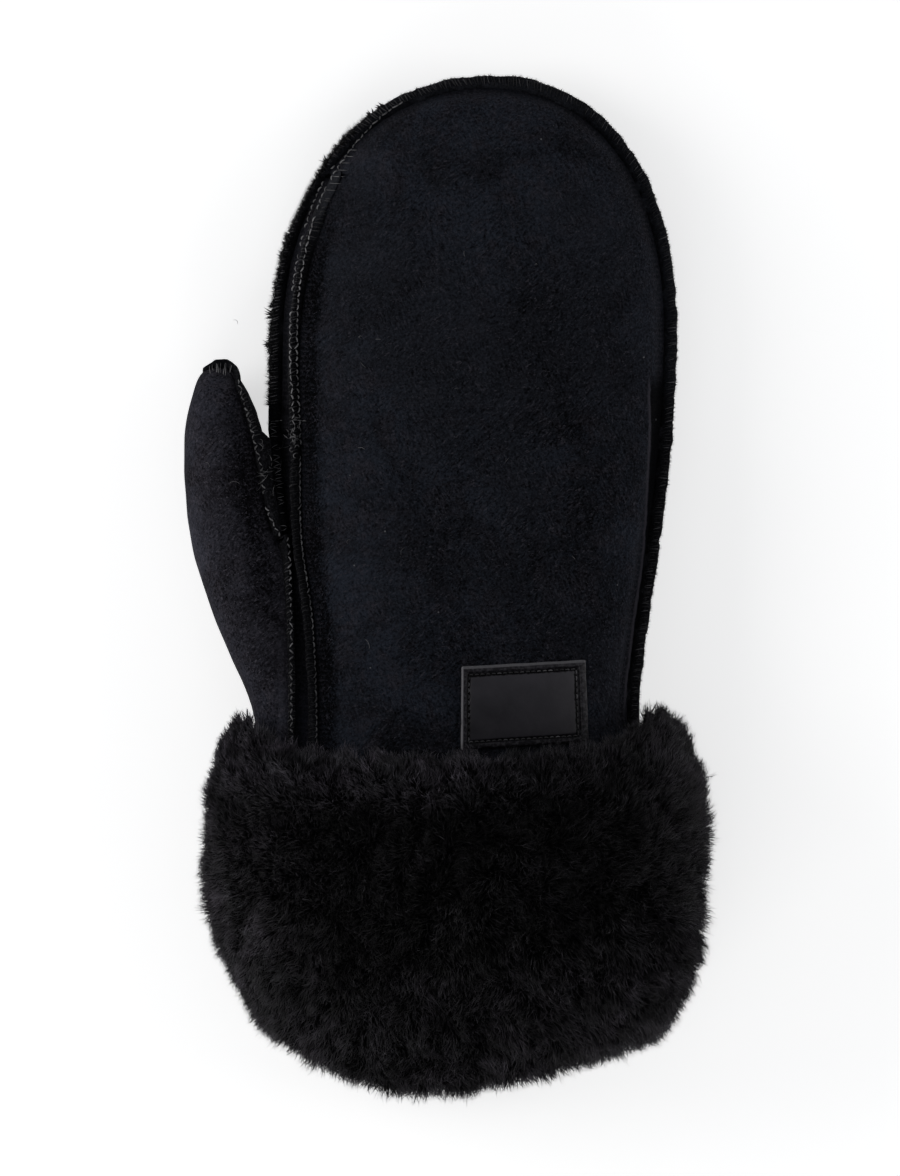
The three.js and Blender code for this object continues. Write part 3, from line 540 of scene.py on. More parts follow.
def cut_edge():
    f = Finish("whipped_edge")
    fibres = f.noise(0.6, 4, 0.7, f.stretched((1.0, 1.0, 2.5)))
    lumps = f.noise(3.2, 3, 0.6)
    across, up = f.picture_place()
    colour = f.mix(fibres.above(0.52, 0.2), (0.0052, 0.0054, 0.0068), (0.0200, 0.0204, 0.0250))
    reach = 1.4 + across.above(20, 24) * up.above(30, 24) * 0.8
    folded = 1 - f.attribute("seam_away").above(reach, 1.1)
    nap = 1 + (f.noise(GRAIN_SIZE, 4, 0.75) - 0.5) * 4
    leather = f.shaded((0.0150, 0.0162, 0.0205), nap.at_least(0.2))
    colour = f.mix(folded * 0.9, colour, leather)
    # Painted shade: the cut edges are darkened on the lower right and on the left round the thumb.
    edge_shade = ((-up).above(-50, 10) * across.above(20, 10)).at_least((-across).above(34, 6))
    edge_shade_tone = f.mix(fibres.above(0.56, 0.2), (0.0022, 0.0022, 0.0027), (0.012, 0.012, 0.014))
    colour = f.mix(edge_shade * 0.75, colour, edge_shade_tone)
    lint = lumps.above(0.60, 0.15) * fibres.above(0.55, 0.1)
    colour = f.mix(lint * 0.5, colour, (0.038, 0.037, 0.042))
    height = fibres * 0.9 + lumps * 0.5
    rough = 0.78 + fibres * 0.2
    return f.surface(colour, rough, f.bump(height, 0.5), {"Specular IOR Level": 0.05})


def thread(name, tone, highlight):
    f = Finish(name)
    own, along = f.strand()
    fuzz = f.noise(0.35, 3, 0.7)
    # Painted highlights: each tube's own number sets how much of the highlight colour it gets.
    colour = f.mix((own * 0.85 + (fuzz - 0.4) * 0.6).clamped(), tone, highlight)
    height = (along * 38).sine() * 0.5 + fuzz
    rough = 0.55 + fuzz * 0.25
    return f.surface(colour, rough, f.bump(height, 0.06), {"Specular IOR Level": 0.3})


def label_leather():
    f = Finish("smooth_hide")
    pores = f.cells(0.42, "SMOOTH_F1")
    grain = f.noise(0.9, 5, 0.65)
    wear = f.noise(7.5, 4, 0.6, warp=0.4)
    broad = f.noise(19, 2, 0.5, warp=0.6)
    u, v = (f.attribute(name) for name in ("label_u", "label_v"))
    half_u, half_v = LABEL_SIZE[0] / 2, LABEL_SIZE[1] / 2
    inset = -((u.at_least(-u) - half_u).at_least(v.at_least(-v) - half_v))
    ragged = inset + (grain - 0.5) * 0.9 + (wear - 0.5) * 0.7
    colour = f.mix(wear.above(0.5, 0.4), (0.0092, 0.0082, 0.0116), (0.0160, 0.0142, 0.0192))
    colour = f.mix(broad.above(0.5, 0.2) * 0.6, colour, (0.0215, 0.0190, 0.0252))
    # Painted light: the face is painted lighter towards its top.
    colour = f.shaded(colour, 0.74 + grain * 0.36 + v * 0.030)
    frame_side = 1 - ragged.above(2.1, 0.4)
    worn_tone = f.mix(grain.above(0.52, 0.12), (0.0034, 0.0033, 0.0040), (0.0400, 0.0385, 0.0440))
    colour = f.mix(frame_side * 0.7, colour, worn_tone)
    lit = (-u).above(half_u - 0.62, 0.2).at_least(v.above(half_v - 0.3, 0.2) * 0.6)
    colour = f.mix(lit * wear.above(0.34, 0.2), colour, (0.135, 0.132, 0.142))
    # Painted shade in the stitch groove, which also loses its gloss.
    groove_shade = ragged.above(1.65, 0.3) * (1 - ragged.above(2.5, 0.3))
    colour = f.mix(groove_shade * 0.95, colour, (0.0008, 0.0008, 0.0010))
    gloss = (1 - groove_shade) * (1 - frame_side * 0.75) * (0.60 + v * 0.034 + (wear - 0.5) * 0.5)
    rough = 0.36 + wear * 0.16 + grain * 0.10
    height = pores * 0.35 + grain * 0.4 + wear * 0.8
    constants = {"Specular IOR Level": 0.06, "Coat Weight": gloss, "Coat Roughness": 0.42}
    return f.surface(colour, rough, f.bump(height, 0.10), constants)


edge_finish = cut_edge()
dark_thread = thread("black_thread", (0.004, 0.004, 0.005), (0.125, 0.122, 0.132))
pale_thread = thread("pale_thread", (0.040, 0.039, 0.043), (0.34, 0.335, 0.345))
label_finish = label_leather()
print("finishes so far:", len(bpy.data.materials))

# %% Wool finishes


def painted_pile_light(f, drift):
    """Painted light on the cuff's pile: its sides, the mouth's rim and the fold at the hand."""
    across, up = f.picture_place()
    wander = (drift - 0.5) * 26
    left = (-across + wander).above(42, 30) * 0.66
    right = (across + wander).above(54, 26) * 0.5
    near = (-up + across * 0.3 + wander).above(112, 36) * 0.66
    over = (up + wander * 0.2).above(-57, 10) * (1 - (across + wander).above(8, 30) * 0.7) * 1.6
    return left.at_least(right).at_least(near).at_least(over)


def wool(name, root, tip, pale, share, with_painted_light=False):
    """Pile that is dark at the root, with a share of pale hairs, and painted light at its tips and
    the cuff's rim.
    """
    f = Finish(name)
    own, along = f.strand()
    drift = f.noise(17, 3, 0.6)
    clump = f.noise(6.0, 4, 0.7, warp=0.5).above(0.52, 0.24) * (0.5 + drift)
    # Painted light: each hair is lighter towards its tip, more for some hairs and in some clumps.
    lit = (along * (0.06 + own * own * 0.94) * (0.16 + clump * 1.9)).clamped()
    colour = f.mix(lit, root, tip)
    if with_painted_light:
        # Painted light on the cuff's sides, the mouth's rim and the fold, with slow random tone.
        colour = f.shaded(colour, 0.76 + painted_pile_light(f, drift) * 3.4 + (drift - 0.5) * 2.4)
        violet = f.mix(1.0, colour, (1.25, 0.92, 1.22), "MULTIPLY")
        colour = f.mix(f.noise(9, 3, 0.6).above(0.5, 0.3) * 0.34, colour, violet)
    colour = f.mix(own.above(1 - share, 0.06) * along, colour, pale)
    return f.surface(colour, 0.42 + own * 0.25, None, {"Specular IOR Level": 0.22})


def undercoat(name, low, high):
    """Dense wool seen between the hairs, or clipped short inside the hand."""
    f = Finish(name)
    curls = f.noise(1.3, 5, 0.7, warp=1.4)
    colour = f.mix(curls.above(0.55, 0.3), low, high)
    return f.surface(colour, 0.8 + curls * 0.2, f.bump(curls, 1.2), {"Specular IOR Level": 0.05})


cuff_wool = wool(
    "cuff_wool",
    (0.0016, 0.0015, 0.0018), (0.0290, 0.0280, 0.0322), (0.085, 0.082, 0.090),
    0.09, True,
)
edge_wool = wool(
    "edge_wool",
    (0.0040, 0.0040, 0.0048), (0.0240, 0.0230, 0.0260), (0.080, 0.078, 0.084),
    0.12,
)
undercoat_finish = undercoat("wool_undercoat", (0.0016, 0.0016, 0.0019), (0.0060, 0.0058, 0.0068))
lining_finish = undercoat("clipped_wool", (0.0030, 0.0029, 0.0034), (0.0180, 0.0172, 0.0195))
print("finishes:", len(bpy.data.materials))

# %% [markdown]
# ## Leather from the plan
#
# A sewn leather wall has soft edges, shallow puckers where the thread gathers it, and slow waves
# where a hand has worn it. Cloth simulation would lose the sewn shape, which is known exactly, so
# each wall starts as a copy of its solid: the loose triangles are merged and joined to quads, a
# crease holds its cut edge, Subdivision Surface rounds it, and then its points are moved along
# their normals by noise that fades out at the seams.

# %% Leather helpers
MERGE_DISTANCE, SHARP_ANGLE = 2e-5, math.radians(48)


def rounded(bm, name, levels):
    """The mesh that Subdivision Surface makes of a bmesh."""
    rough = bpy.data.meshes.new(name + "_rough")
    bm.to_mesh(rough)
    bm.free()
    maker = bpy.data.objects.new(name + "_maker", rough)
    scene.collection.objects.link(maker)
    rounding = maker.modifiers.new("rounding", "SUBSURF")
    rounding.levels = rounding.render_levels = levels
    shown = maker.evaluated_get(bpy.context.evaluated_depsgraph_get())
    mesh = bpy.data.meshes.new_from_object(shown)
    bpy.data.objects.remove(maker)
    bpy.data.meshes.remove(rough)
    mesh.name = name
    mesh.materials.clear()
    mesh.shade_smooth()
    return mesh


def merged(node):
    """A solid of the plan as a bmesh, with its loose triangles joined at their corners."""
    bm = bmesh.new()
    bm.from_mesh(frame["nodes"][node].data)
    bmesh.ops.remove_doubles(bm, verts=bm.verts, dist=MERGE_DISTANCE)
    return bm


def smooth_copy(node, name, levels, crease):
    """A rounded copy of a solid of the plan, whose sharp edges are held by a crease."""
    bm = merged(node)
    flat = {"angle_face_threshold": 0.6, "angle_shape_threshold": 1.2}
    bmesh.ops.join_triangles(bm, faces=bm.faces, **flat)
    held = bm.edges.layers.float.new("crease_edge")
    for edge in bm.edges:
        if edge.is_manifold and edge.calc_face_angle() > SHARP_ANGLE:
            edge[held] = crease
    mesh = rounded(bm, name, levels)
    for extra in ("custom_normal", "sharp_face", "sharp_edge"):
        if extra in mesh.attributes:
            mesh.attributes.remove(mesh.attributes[extra])
    return mesh


def points_of(mesh):
    flat = np.empty(len(mesh.vertices) * 3, np.float32)
    mesh.vertices.foreach_get("co", flat)
    return flat.reshape(-1, 3).astype(float) / MM


def normals_of(mesh):
    flat = np.empty(len(mesh.vertices) * 3, np.float32)
    mesh.vertex_normals.foreach_get("vector", flat)
    return flat.reshape(-1, 3).astype(float)


def set_points(mesh, points):
    mesh.vertices.foreach_set("co", (points * MM).astype(np.float32).ravel())
    mesh.update()


def set_attribute(mesh, name, values):
    layer = mesh.attributes.new(name, "FLOAT", "POINT")
    layer.data.foreach_set("value", np.asarray(values, np.float32))


def waves(points, size, seed=0.0):
    """Smooth noise between about -1 and 1, with lumps this many millimetres wide."""
    shift = Vector((seed, seed * 1.7, seed * 0.3))
    return np.array([noise.noise(Vector(p) / size + shift) for p in points])


def finished(mesh, material, nodes, inside=None):
    """Puts a mesh in the scene as a piece of the mitten that stands for some solids of the plan."""
    piece = bpy.data.objects.new(mesh.name, mesh)
    mesh.materials.append(material)
    if inside:
        mesh.materials.append(inside)
    scene.collection.objects.link(piece)
    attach(piece, "root")
    if nodes:
        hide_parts(*nodes)
    mesh.calc_loop_triangles()
    print(f"{piece.name}: {len(mesh.loop_triangles)} triangles")
    return piece


def seam_line(ys, xs, low, high, step, height):
    """Stations along a seam of the plan, one for each step of the whipping."""
    line = [(eased(ys, xs, y), y, height) for y in np.arange(low, high, step)]
    return along_line(line, STATION_STEP)[0]


inner_line = seam_line(INNER_Y, INNER_X, -46, 108, 2.0, 34.0)
outer_line = seam_line(OUTER_Y, OUTER_X, -46, 46, 2.0, 26.0)
thumb_line = seam_line(THUMB_SEAM_Y, THUMB_SEAM_X, 14, 54.5, 1.5, 22.0)
seam_points = np.concatenate([edge_at, inner_line, outer_line, thumb_line])


def seen_from_above(stations):
    """A tree of stations that ignores their heights."""
    tree = kdtree.KDTree(len(stations))
    for index, point in enumerate(stations):
        tree.insert((point[0], point[1], 0.0), index)
    tree.balance()
    return tree


seam_tree = seen_from_above(seam_points)
edge_tree = seen_from_above(edge_at)


def seam_distance(points):
    """How far each point is from the nearest seam, seen from above, and which station that is."""
    found = [seam_tree.find((p[0], p[1], 0.0)) for p in points]
    return np.array([f[2] for f in found]), np.array([f[1] for f in found])


print("seam stations:", len(seam_points))

# %% The pinch beside the edge


def pinched(points, level=0.42, reach=2.6):
    """Draws leather in to the height of the side seam near the edge, as tight whipping does."""
    for n, point in enumerate(points):
        _, station, away = edge_tree.find((point[0], point[1], 0.0))
        if away < reach:
            seam = edge_at[station][2]
            share = ramped(away, 0.5, reach)
            fold = ramped(point[1], 48, 36) * (point[0] > 0)
            share = (1 - fold) * share * share * (3 - 2 * share) + fold * share**3
            share = level + (1 - level) * share
            points[n, 2] = seam + (point[2] - seam) * share
    return points


def on_the_curve(points, normals):
    """Puts the outer face of the back on the plan's own curve, so that no facet shows."""
    for n, (x, y, z) in enumerate(points):
        if y < -60 or y > 128 or normals[n, 2] < 0.15:
            continue
        height, across = back_height(x, y)
        if height is not None and abs(z - height) < 1.7:
            points[n, 2] = z + (height - z) * min(1.0, (0.97 - across) / 0.12)
    return points


print("edge stations:", len(edge_at))

# %% Hollows with painted shade, and painted light and wear
beyond_edge = [np.arange(len(line)) * STATION_STEP for line in (inner_line, outer_line, thumb_line)]
gone_along = np.concatenate([edge_gone, *beyond_edge])


def from_segment(points, start, end):
    """How far points are from a straight line, seen from above."""
    start, run = np.array(start), np.subtract(end, start)
    share = np.clip(((points[:, :2] - start) @ run) / (run @ run), 0, 1)
    return np.linalg.norm(points[:, :2] - start - share[:, None] * run, axis=1)


def sunk_and_shaded_places(points):
    """The long hollow down the thumb's inner side and the crease that crosses its foot, in painted
    shade.
    """
    wander = 1.2 * waves(points, 9, 8.0)
    hollow_shade = np.exp(-(((from_segment(points, (-54.2, 36.0), (-47.6, 0.0)) + wander) / 4.0) ** 2))
    crease = np.exp(-((from_segment(points, (-52.0, -3.0), (-43.5, -10.5)) / 1.1) ** 2))
    tip = np.exp(-((from_segment(points, (-58.0, 49.0), (-55.0, 40.0)) / 2.4) ** 2))
    return np.clip(hollow_shade + 0.6 * crease + 0.35 * tip, 0, 1)


def seam_valley(points):
    """The dip in the back just inside the inner seam, darkened with painted shade."""
    aside = points[:, 0] - np.array([eased(INNER_Y, INNER_X, y) for y in points[:, 1]])
    return 1.1 * np.exp(-(((aside - 3.2) / 2.7) ** 2)) * ramped(points[:, 1], 106, 84)


def lit_and_worn(points):
    """Painted light towards the thumb and on the thumb's flank, paler at the fingertips, and nap
    brushed pale.
    """
    left = ramped(points[:, 0], -8, -32) * (points[:, 0] > -45)
    tips = 0.3 * ramped(points[:, 1], 75, 105)
    flank = 0.35 * ramped(points[:, 0], -58, -64)
    return np.clip(left + tips + flank + 0.35 * waves(points, 16, 9.0), 0, 1.2)


print("all seams together, mm:", round(len(seam_points) * STATION_STEP))

# %% The walls of the hand and the thumb
EVERY_AXIS = {"use_axis_x": True, "use_axis_y": True, "use_axis_z": True}


def settled(mesh, middle, reach, times):
    """Smooths the upper face round one place, where a row of the plan would show as a line."""
    bm = bmesh.new()
    bm.from_mesh(mesh)
    bm.normal_update()
    middle = Vector(middle)
    near = [v for v in bm.verts if v.normal.z > 0.3 and (v.co.xy / MM - middle).length < reach]
    for _ in range(times):
        bmesh.ops.smooth_vert(bm, verts=near, factor=0.5, **EVERY_AXIS)
    print("settled points:", len(near))
    bm.to_mesh(mesh)
    bm.free()


SUNK_AND_SHADED = {"thumb": (sunk_and_shaded_places, 1.1), "back_panel": (seam_valley, 0.2)}
WOOLLY = {"back_panel": -1, "palm_panel": 1}  # which way a wall's inner face looks, up or down
WOOLLY_TO = 0.052  # metres from the mitten's middle line
PLEAT_LENGTH = 5.2
DOME_ROW, DOME_ROW_REACH = (-24, 109), 11


def leather_wall(node, name, material, slot, wave, pucker, seed, pinch=True, curve=False):
    """One wall of leather: rounded, waved, puckered at its seams, sunk in its hollows, with shade
    and light painted.
    """
    mesh = smooth_copy(node, name, 2, 1.0)
    points, normals = points_of(mesh), normals_of(mesh)
    if curve:
        set_points(mesh, on_the_curve(points, normals))
        settled(mesh, DOME_ROW, DOME_ROW_REACH, 12)
        points, normals = points_of(mesh), normals_of(mesh)
    away, station = seam_distance(points)
    slow = 0.6 * waves(points, 17, seed) + 0.4 * waves(points, 7.5, seed + 3)
    moved = wave * slow * ramped(away, 1.0, 7.0)
    phase = 2.2 * waves(points, 30, seed + 5)
    pleats = np.sin(gone_along[station] * 2 * math.pi / PLEAT_LENGTH + phase)
    near = np.exp(-(((away - 4.6) / 2.6) ** 2))
    moved += pucker * pleats * near * (0.6 + 0.8 * waves(points, 20, seed + 7))
    hollow_shade = np.zeros(len(points))
    if node in SUNK_AND_SHADED:
        sunk, depth = SUNK_AND_SHADED[node]
        hollow_shade = sunk(points)
        moved -= depth * hollow_shade * (normals[:, 2] > 0)
    points = points + normals * moved[:, None]
    if pinch:
        points = pinched(points)
    points[:, 2] = np.maximum(points[:, 2], 0.0)
    set_points(mesh, points)
    set_attribute(mesh, "seam_away", np.minimum(away, 20.0))
    set_attribute(mesh, "seam_along", gone_along[station])
    # Attributes for the finish: where painted light and painted shade go on the suede.
    set_attribute(mesh, "lit_and_worn", lit_and_worn(points) * (1 - hollow_shade))
    set_attribute(mesh, "hollow_shade", hollow_shade)
    if node not in WOOLLY:
        return finished(mesh, material, [node])
    piece = finished(mesh, material, [node], lining_finish)
    for face in mesh.polygons:
        inner = face.normal.z * WOOLLY[node] > 0.12 and abs(face.center.x) < WOOLLY_TO
        face.material_index = int(inner)
    return piece


# %% Five walls
# node, name, finish, slot, wave, pucker, seed, then whether it is pinched and put on the curve
WALLS = (
    ("back_panel", "back_leather", back_suede, "suede", 0.6, 0.30, 1.0, True, True),
    ("palm_panel", "palm_leather", palm_suede, "suede", 0.35, 0.20, 2.0),
    ("side_strip_upper", "upper_strip_leather", strip_suede, "suede", 0.15, 0.12, 3.0),
    ("side_strip_lower", "lower_strip_leather", strip_suede, "suede", 0.15, 0.12, 4.0),
    ("thumb", "thumb_leather", thumb_suede, "thumb_suede", 0.5, 0.18, 5.0, False),
)
back, palm, upper_strip, lower_strip, thumb = [leather_wall(*wall) for wall in WALLS]

# %% Rays at the leather
ABOVE = 70


def surface_tree(*pieces):
    """One tree of faces in millimetres, to find where a ray meets these pieces."""
    places, faces = [], []
    for piece in pieces:
        start = len(places)
        places += [tuple(p) for p in points_of(piece.data)]
        faces += [[start + i for i in polygon.vertices] for polygon in piece.data.polygons]
    return BVHTree.FromPolygons(places, faces)


def met(tree, start, way, far=40.0):
    """Where a ray from a point meets a tree, and the way that the surface faces there."""
    place, normal, _, _ = tree.ray_cast(Vector(start), Vector(way).normalized(), far)
    return (np.array(place), np.array(normal)) if place else (None, None)


def dropped(tree, x, y):
    """Where a point that is dropped from above the mitten meets a tree."""
    return met(tree, (x, y, ABOVE), (0, 0, -1), ABOVE + 20)


skin_tree = surface_tree(back, palm, upper_strip, lower_strip, thumb)
hand_tree = surface_tree(back, palm, upper_strip, lower_strip)
thumb_tree = surface_tree(thumb)
print("the back's top at its middle, mm:", round(float(dropped(hand_tree, 8.0, 20.0)[0][2]), 1))

# %% [markdown]
# ## Raised seams
#
# On a sheepskin mitten the two cut edges stand up outside and are whipped over with thread. Each
# ridge is a rounded copy of its solid, roughened so that the cut edges look torn, not machined.
# Then each is drawn to the line that its seam takes in the photograph, and its foot is hugged to
# the leather beside it, so that no slit of floor shows between two pieces that are sewn together.

# %% How each ridge is drawn
CROTCH_Y, CROTCH_X = (14, 17, 27.8, 38, 44), (-44.6, -45.1, -46.9, -47.5, -47.6)


def drawn_edge(points, normals):
    """The edge: pulled tight left of the fingertips, and longer at its end under the fur."""
    for n, point in enumerate(points):
        _, station, _ = edge_tree.find((point[0], point[1], 0.0))
        out = np.array([edge_ahead[station][1], -edge_ahead[station][0], 0.0])
        over = (point - edge_at[station]) @ out - 1.0
        tight = 0.45 * ramped(point[1], 66, 80) * ramped(point[0], 14, 2)
        tight *= 1 - 0.8 * ramped(point[1], 114, 126)
        tight *= 1 + 0.7 * math.exp(-(((point[1] - 104) / 13) ** 2))
        points[n] -= out * max(over, 0.0) * tight
    points[:, 1] -= 9.0 * ramped(points[:, 1], -27, -35.5) * (points[:, 0] > 0)


def drawn_thumb(points, normals):
    """The thumb: longer at its foot, and rounder over its tip."""
    foot = ramped(points[:, 1], 22, 14)
    points[:, 1] -= 5.0 * foot
    points[:, 0] += 1.8 * foot
    tip = ramped(points[:, 1], 52, 55)
    points[:, 0] -= 1.2 * ramped(points[:, 0], -60, -64) * tip
    points[:, 1] -= 0.085 * (points[:, 0] + 60.5) ** 2 * tip * (points[:, 0] < -60.5)
    points[:, 1] += 1.2 * np.exp(-(((points[:, 0] + 59.4) / 3.2) ** 2)) * tip


def drawn_inner(points, normals):
    """The inner seam: wider and longer where it runs out near the fingertips."""
    end = ramped(points[:, 1], 100, 108)
    points[:, 0] += 2.2 * end + 1.2 * ramped(points[:, 1], 84, 94) * (normals[:, 0] > 0)
    points[:, 1] += 6.0 * end


def drawn_base(points, normals):
    """The thumb's base: a little longer towards the fingertips."""
    points[:, 1] += 4.0 * ramped(points[:, 1], 3, 9)


DRAWN = {
    "edge_ridge": drawn_edge,
    "thumb_ridge": drawn_thumb,
    "inner_ridge": drawn_inner,
    "thumb_base_ridge": drawn_base,
}
print("ridges to draw:", list(DRAWN))

# %% Raised seams


def hugged_share(name, point, away):
    """How much a point of a ridge is drawn onto the leather, apart from being close to it."""
    if name == "inner_ridge":
        return 0.72 * ramped(point[1], 92, 106)
    return 0.3 if name == "thumb_ridge" and point[1] > 52 and away < 4 else 0.0


def edge_distance(name, points):
    """The seam_away of each point of a ridge: near 0 it is coloured as suede, from 5 on as edge."""
    if name == "edge_ridge":
        return [edge_tree.find((p[0], p[1], 0.0))[2] for p in points]
    suede_from = {"inner_ridge": (70, 86), "thumb_ridge": (50, 52)}.get(name)
    if not suede_from:
        return np.full(len(points), 5.0)
    return 5.0 - 4.5 * ramped(points[:, 1], *suede_from)


def raised_seam(node, name, rough, seed, sewn, sewn_to, pinch=False):
    """A ridge whose foot is drawn onto the leather where it is closer than the sewn distance."""
    mesh = smooth_copy(node, name, 2, 0.25)
    points, normals = points_of(mesh), normals_of(mesh)
    moved = rough * (0.8 * waves(points, 3.6, seed) + 0.6 * waves(points, 1.3, seed + 4))
    points = points + normals * moved[:, None]
    if pinch:
        points = pinched(points)
    DRAWN[name](points, normals)
    for n, point in enumerate(points):
        if name == "thumb_ridge" and normals[n, 0] > 0.1 and point[1] < 42:
            closed = eased(CROTCH_Y, CROTCH_X, point[1]) + 0.5 - point[0]
            points[n, 0] += max(closed, 0.0) * ramped(point[1], 42, 38.5)
            continue
        foot, facing, _, away = sewn_to.find_nearest(Vector(point))
        inner = (foot - Vector(point)).dot(Vector(normals[n])) > 0 and away < 4.5
        hugged = hugged_share(name, point, away)
        if inner or hugged or away < sewn:
            share = 1.0 if inner else max(hugged, 1 - (away / sewn) ** 3)
            points[n] = point + (np.array(foot - facing * 0.2) - point) * share
    points[:, 2] = np.maximum(points[:, 2], 0.0)
    set_points(mesh, points)
    set_attribute(mesh, "seam_away", edge_distance(name, points))
    return finished(mesh, edge_finish, [node])


edge_ridge = raised_seam("edge_seam", "edge_ridge", 0.42, 11.0, 1.1, hand_tree)
inner_ridge = raised_seam("inner_seam", "inner_ridge", 0.32, 12.0, 1.2, hand_tree, pinch=True)
base_ridge = raised_seam("thumb_base_seam", "thumb_base_ridge", 0.36, 13.0, 1.2, skin_tree)
thumb_ridge = raised_seam("thumb_seam", "thumb_ridge", 0.30, 14.0, 1.6, thumb_tree)
ridges = (edge_ridge, inner_ridge, base_ridge, thumb_ridge)
ridge_trees = {p.name: surface_tree(p) for p in ridges}
top_tree = surface_tree(back, upper_strip, lower_strip, thumb, *ridges)
print("trees of faces for rays:", 4 + len(ridge_trees))

# %% [markdown]
# ## Threads and hairs as one mesh each
#
# A stitch or a hair is a thin tube along a few points. There are tens of thousands of them, so
# one helper builds all the tubes of a piece in a single array, with a few faces each. It writes a
# UV map with a number of its own for each tube and the place along it, for the finishes to read.

# %% Tubes


def tubes(name, paths, radii, sides, pointed, tones):
    """Joined tubes: paths is (count, points, 3) and radii (count, points), in millimetres."""
    count, steps, _ = paths.shape
    ahead = np.gradient(paths, axis=1)
    ahead /= np.maximum(np.linalg.norm(ahead, axis=2, keepdims=True), 1e-9)
    upright = np.where(np.abs(ahead[:, :1, 2:3]) < 0.8, [[[0, 0, 1.0]]], [[[1.0, 0, 0]]])
    first = np.cross(ahead, np.broadcast_to(upright, ahead.shape))
    first /= np.maximum(np.linalg.norm(first, axis=2, keepdims=True), 1e-9)
    second = np.cross(ahead, first)
    rings = steps - 1 if pointed else steps
    turn = np.arange(sides) * 2 * math.pi / sides
    cosine, sine = np.cos(turn)[:, None], np.sin(turn)[:, None]
    out = first[:, :rings, None] * cosine + second[:, :rings, None] * sine
    ring_points = paths[:, :rings, None] + out * radii[:, :rings, None, None]
    points = ring_points.reshape(count, -1, 3)
    if pointed:
        points = np.concatenate([points, paths[:, -1:]], axis=1)
    each = points.shape[1]
    j = np.arange(sides)
    after = (j + 1) % sides
    quads = []
    for r in range(rings - 1):
        low, high = r * sides, (r + 1) * sides
        quads.append(np.stack([low + j, low + after, high + after, high + j], 1))
    loops = [quad.ravel() for quad in quads] + [j[::-1]]
    sizes = [4] * (sides * (rings - 1)) + [sides]
    if pointed:
        tip, last = np.full(sides, each - 1), (rings - 1) * sides
        loops.append(np.stack([last + j, last + after, tip], 1).ravel())
        sizes += [3] * sides
    else:
        loops.append((rings - 1) * sides + j)
        sizes += [sides]
    loops = np.concatenate(loops)
    corners = (loops[None] + (np.arange(count) * each)[:, None]).ravel()
    totals = np.tile(sizes, count)
    mesh = bpy.data.meshes.new(name)
    mesh.vertices.add(count * each)
    mesh.vertices.foreach_set("co", (points * MM).astype(np.float32).ravel())
    mesh.loops.add(len(corners))
    mesh.loops.foreach_set("vertex_index", corners.astype(np.int32))
    mesh.polygons.add(len(totals))
    starts = np.concatenate([[0], np.cumsum(totals)[:-1]])
    mesh.polygons.foreach_set("loop_start", starts.astype(np.int32))
    share = np.repeat(np.arange(rings) / (steps - 1), sides)
    share = np.concatenate([share, [1.0] if pointed else []])
    uv = np.stack([np.repeat(tones, len(loops)), np.tile(share[loops], count)], 1)
    mesh.uv_layers.new(name="strand").data.foreach_set("uv", uv.astype(np.float32).ravel())
    mesh.update(calc_edges=True)
    mesh.shade_smooth()
    return mesh


print("tubes of 3 to 6 sides")

# %% [markdown]
# ## Whipped stitches
#
# The thread goes round and round the raised edges, a stitch every 0.9 mm. For each stitch, rays
# are sent at the ridge from several sides in the plane across it, and the thread lies where they
# meet it, slanted a little, as a whip stitch is.

# %% Whipped stitches
rng = np.random.default_rng(41)


def whipped(tree, places, ahead, outward, reach, angles, lift, slant):
    """Paths of stitches round a ridge, none quite like the next. outward: how the ridge stands."""
    paths = []
    for place, forward, out in zip(places, ahead, outward):
        side = np.cross(forward, out)
        side /= np.linalg.norm(side)
        middle = place + out * reach + forward * rng.uniform(-0.28, 0.28)
        own_slant = slant * rng.uniform(0.2, 2.0)
        turn, over = rng.uniform(-10, 10), lift + abs(rng.normal(0, 0.07))
        line = []
        for k, angle in enumerate(angles):
            angle = math.radians(angle + turn)
            way = out * math.cos(angle) + side * math.sin(angle)
            start = middle + way * 6 + forward * own_slant * (k / (len(angles) - 1) - 0.5)
            found, facing = met(tree, start, -way, 6.5)
            line.append(found + facing * over if found is not None else None)
        if all(point is not None for point in line):
            paths.append(line)
    return np.array(paths)


def outward_from(ahead):
    """The level way out of the outline for a line that runs round it against the clock."""
    out = np.stack([ahead[:, 1], -ahead[:, 0], np.zeros(len(ahead))], 1)
    return out / np.linalg.norm(out, axis=1)[:, None]


edge_out = outward_from(edge_ahead)
ANGLES_ROUND_EDGE = (-120, -86, -48, -12, 26)
EDGE_TAPER = np.array([0.07, 0.12, 0.14, 0.13, 0.08])  # a stitch's radius at each of its points
edge_paths = whipped(
    ridge_trees["edge_ridge"], edge_at, edge_ahead, edge_out, 1.5, ANGLES_ROUND_EDGE, 0.02, 0.7
)
if len(edge_paths) < 50:
    raise RuntimeError("the whipped stitches missed the edge")
edge_radii = EDGE_TAPER * rng.uniform(0.6, 1.25, (len(edge_paths), 1))
edge_radii[edge_paths[:, 2, 0] > 6] *= 0.72  # the right edge is sewn with finer thread
# Each stitch's share of the thread's painted highlight, greater towards the left edge.
edge_pale = 0.15 + 0.85 * rng.random(len(edge_paths)) ** 1.2
edge_pale *= ramped(edge_paths[:, 2, 0], 18, -22)
edge_pale = np.maximum(edge_pale, 0.9 * rng.random(len(edge_paths)) ** 3.5)
edge_stitches = tubes("edge_stitches", edge_paths, edge_radii, 5, False, edge_pale)
finished(edge_stitches, dark_thread, [])
print("whipped stitches:", len(edge_paths))

# %% Stitches over the inner seams


